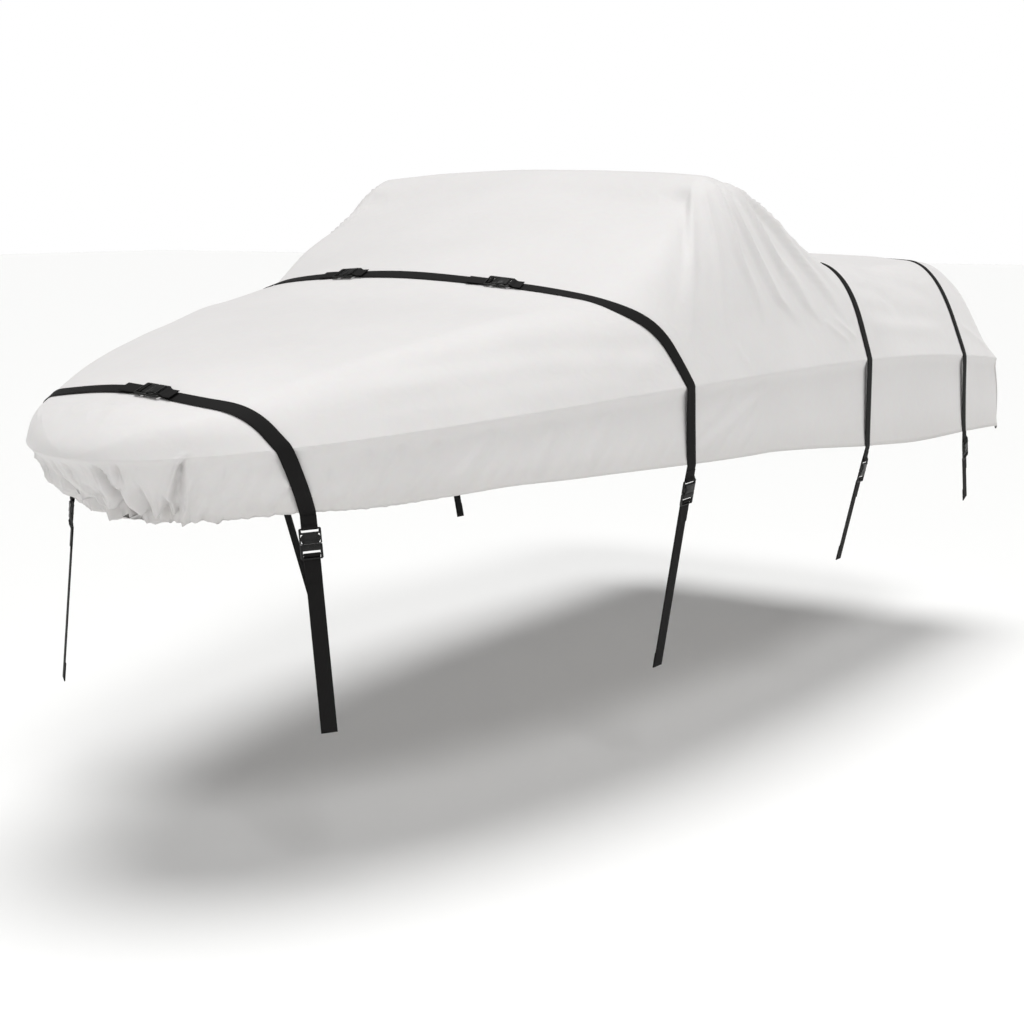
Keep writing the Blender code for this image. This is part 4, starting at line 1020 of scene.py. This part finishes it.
def buckleParts():
    # the socket, the tongue with its two prongs, and the ladder bars: closed mouldings in one mesh
    half, long, slot = buckle["width"] / 2, buckle["length"] / 2, buckle["slotWidth"] / 2
    plate, corner, nick, sink = (buckle[key] for key in ("plate", "corner", "nick", "sink"))
    top = buckle["body"] - sink
    bodyStart, bodyEnd = buckle["slotLength"] - sewnBar, innerBar - buckle["bar"] - buckle["slotLength"]
    start, end = bodyStart + 0.001, bodyEnd - 0.001
    split = end - buckle["tongue"]                       # where the tongue's shoulder meets the socket
    fore, aft = bodyStart + buckle["inset"], split - 0.002       # the ends of the side windows
    outer = half - buckle["rail"]
    inner = outer - buckle["window"]
    socket = mirrored([(split, half - 0.002), (split - 0.002, half), (corner - long, half),
                       (nick - long, half - nick), (-long, half - corner)])
    windows = [roundedBox(fore, aft, inner, outer, 0.002), roundedBox(fore, aft, -outer, -inner, 0.002)]
    waist = [(start + (split - start) * t / pi, buckle["waist"] / 2 + buckle["flare"] * (1 - sin(t)) * 0.9)
             for t in np.linspace(0, pi, 15)]
    shorter = (split - start - 0.014) / (split - start)
    crown = [(start + 0.006 + (x - start) * shorter, y - 0.0055) for x, y in waist]
    plates = [([socket, roundedBox(-sewnBar, bodyStart, -slot, slot, nick), *windows], 0, plate, 0.0011),
              ([mirrored(waist)], -sink, top, 0.0016),
              ([mirrored(crown)], top - 0.0008, top + 0.0006, 0.0005)]
    # prong pads swell out through the side windows
    padIn, padOut = buckle["waist"] / 2 + 0.0010, outer + 0.0012
    pad = [(fore + 0.0015, padIn), (fore + 0.004, padOut - 0.0035), (fore + 0.010, padOut - 0.0008),
           ((fore + aft) / 2, padOut), (aft - 0.010, padOut - 0.0012), (aft - 0.003, padOut - 0.004),
           (aft - 0.0015, padIn)]
    for outline in ([(x, -y) for x, y in pad], pad[::-1]):
        plates.append(([outline], 0.0005, plate + 0.0012, 0.0009))
    tongue = mirrored([(long, half - corner), (long - corner, half), (split + 0.003, half),
                       (split + 0.0008, half - nick)])
    ladder = [roundedBox(bodyEnd, innerBar - buckle["bar"], -slot, slot, nick),
              roundedBox(innerBar, sewnBar, -slot, slot, nick)]
    shoulder = roundedBox(split + 0.002, end, 0.001 - slot, slot - 0.001, 0.003)
    plates += [([tongue, *ladder], 0, plate, 0.0011), ([shoulder], 0.0005 - sink, top - 0.0015, 0.0014)]
    for k in range(buckle["ribs"]):                      # grip ribs over the shoulder
        x = split + 0.0055 + buckle["ribStep"] * k
        rib = roundedBox(x, x + buckle["ribWidth"], 0.008 - slot, slot - 0.008, 0.0008)
        plates.append(([rib], top - 0.0020, top - 0.0006, 0.0004))
    joined = bmesh.new()
    for moulding in plates:
        part = bevelledPlate(*moulding)
        joined.from_mesh(part)
        bpy.data.meshes.remove(part)
    bmesh.ops.remove_doubles(joined, verts=joined.verts, dist=0.000005)
    bmesh.ops.recalc_face_normals(joined, faces=joined.faces)
    mesh = bpy.data.meshes.new("sideReleaseBuckle")
    joined.to_mesh(mesh)
    joined.free()
    mesh.shade_smooth()
    mesh.set_sharp_from_angle(angle=radians(38))
    return mesh


buckleMesh = buckleParts()
print("buckle faces:", len(buckleMesh.polygons))


def addBuckle(name, seat):
    mesh = buckleMesh.copy()
    mesh.transform(seat.matrix())
    return addPiece(name + "Moulding", mesh, buckleMaterial, name)


def buildStrap(name):
    rail, buckleDrop, footStation, footOff, footHeight, tops = straps[name]
    over = layWebbing(name)
    sides = {}
    for side, (start, across, _), sign in (("port", over[0], -1), ("starboard", over[-1], 1)):
        foot = np.array([footStation, sign * footOff, footHeight]) - peak
        centre = start + unit(foot - start) * buckleDrop
        seat = sides[side] = outwardSeat(centre, foot - start, across, np.array([0, sign, 0]))
        addBuckle(f"{name}_buckle_{side}", seat)
        rows = hangingRows(seat, float(np.linalg.norm(foot - centre)))
        addWebbing(f"{name}Lower{side.title()}", rows, f"{name}_web_lower_{side}")

    # the top buckles part the webbing that lies on the cloth
    middles = np.array([row[0] for row in over])
    marks = []
    for girth in tops:
        where = clothPoint(rowStation(rail, abs(girth)), abs(girth), 1 if girth > 0 else -1) - peak
        marks.append(int(np.linalg.norm(middles - where, axis=1).argmin()))
    marks.sort()
    seats = []
    for k, mark in enumerate(marks, 1):
        middle, across, up = over[mark]
        base, along = middle - up * (web["thick"] / 2 + web["air"]), over[mark + 5][0] - over[mark - 5][0]
        seats.append(outwardSeat(base, along, across, up, buckle["lift"]))
        addBuckle(f"{name}_buckle_top_{k}", seats[-1])
    room = int((buckle["length"] / 2 + web["room"]) / web["step"])         # rows on each side of a top buckle
    ends = [-room, *marks, len(over) + room]
    labels = (("over",), ("port", "starboard"), ("port", "middle", "starboard"))[len(marks)]
    for k, label in enumerate(labels):
        start = adjusterLoop(seats[k - 1]) if k else sewnLoop(sides["port"])
        end = sewnLoop(seats[k] if k < len(seats) else sides["starboard"])
        # every row's across direction runs the same way, so the band never twists over
        rows = []
        for middle, across, up in start[::-1] + over[ends[k] + room:ends[k + 1] - room] + end:
            rows.append((middle, -across if rows and across @ rows[-1][1] < 0 else across, up))
        addWebbing(f"{name}Web{label.title()}", rows, f"{name}_web_{label}")
    print("strap made:", name)


for strapName in straps:
    buildStrap(strapName)


# floor and light

studio = {
    "floorSize": 60.0, "floorColour": "#f2f2f1",
    # white round the horizon and dimmer overhead, so that the lamps give the folds their shade
    "whiteUpTo": 0.115, "dimFrom": 0.27, "overhead": 0.24,
    # a broad soft light overhead and a weaker one that rakes the port side: direction, strength and spread
    "lamps": {"overheadLight": ((0.04, 0.0, 0.99), 2.3, 34), "rakingLight": ((-0.42, -0.50, 0.76), 0.85, 16)},
}


def makeStudio():
    size, ground = studio["floorSize"], -form["peak"][2]
    mesh = bpy.data.meshes.new("studioFloor")
    corners = [(x * size, y * size, ground) for x, y in ((-1, -1), (1, -1), (1, 1), (-1, 1))]
    mesh.from_pydata(corners, [], [(0, 1, 2, 3)])
    mesh.materials.append(newMaterial("paleStudioFloor", {
        "Base Color": studio["floorColour"], "Roughness": 0.5, "IOR": 1.4})[0])
    place("studioFloor", mesh)
    world = bpy.data.worlds.new("softStudio")
    world.use_nodes = True
    tree = world.node_tree
    split = addNode(tree, "SeparateXYZ", {"Vector": (addNode(tree, "TexCoord", {}), "Generated")})
    height = addNode(tree, "MapRange", {
        "From Min": studio["whiteUpTo"], "From Max": studio["dimFrom"], "To Min": 1.0,
        "To Max": studio["overhead"], "Value": (split, "Z")}, interpolation_type="SMOOTHSTEP")
    setInputs(tree, tree.nodes["Background"], {"Color": "#ffffff", "Strength": (height, "Result")})
    bpy.context.scene.world = world
    for name, (direction, strength, spread) in studio["lamps"].items():
        data = bpy.data.lights.new(name, "SUN")
        data.energy, data.angle = strength, radians(spread)
        lamp = place(name, data)
        lamp.location = Vector(direction) * 8
        lamp.rotation_euler = Vector(direction).to_track_quat("Z", "Y").to_euler()
    bpy.context.scene.view_settings.view_transform = "Standard"


makeStudio()
print("studio set")

bpy.context.view_layer.update()
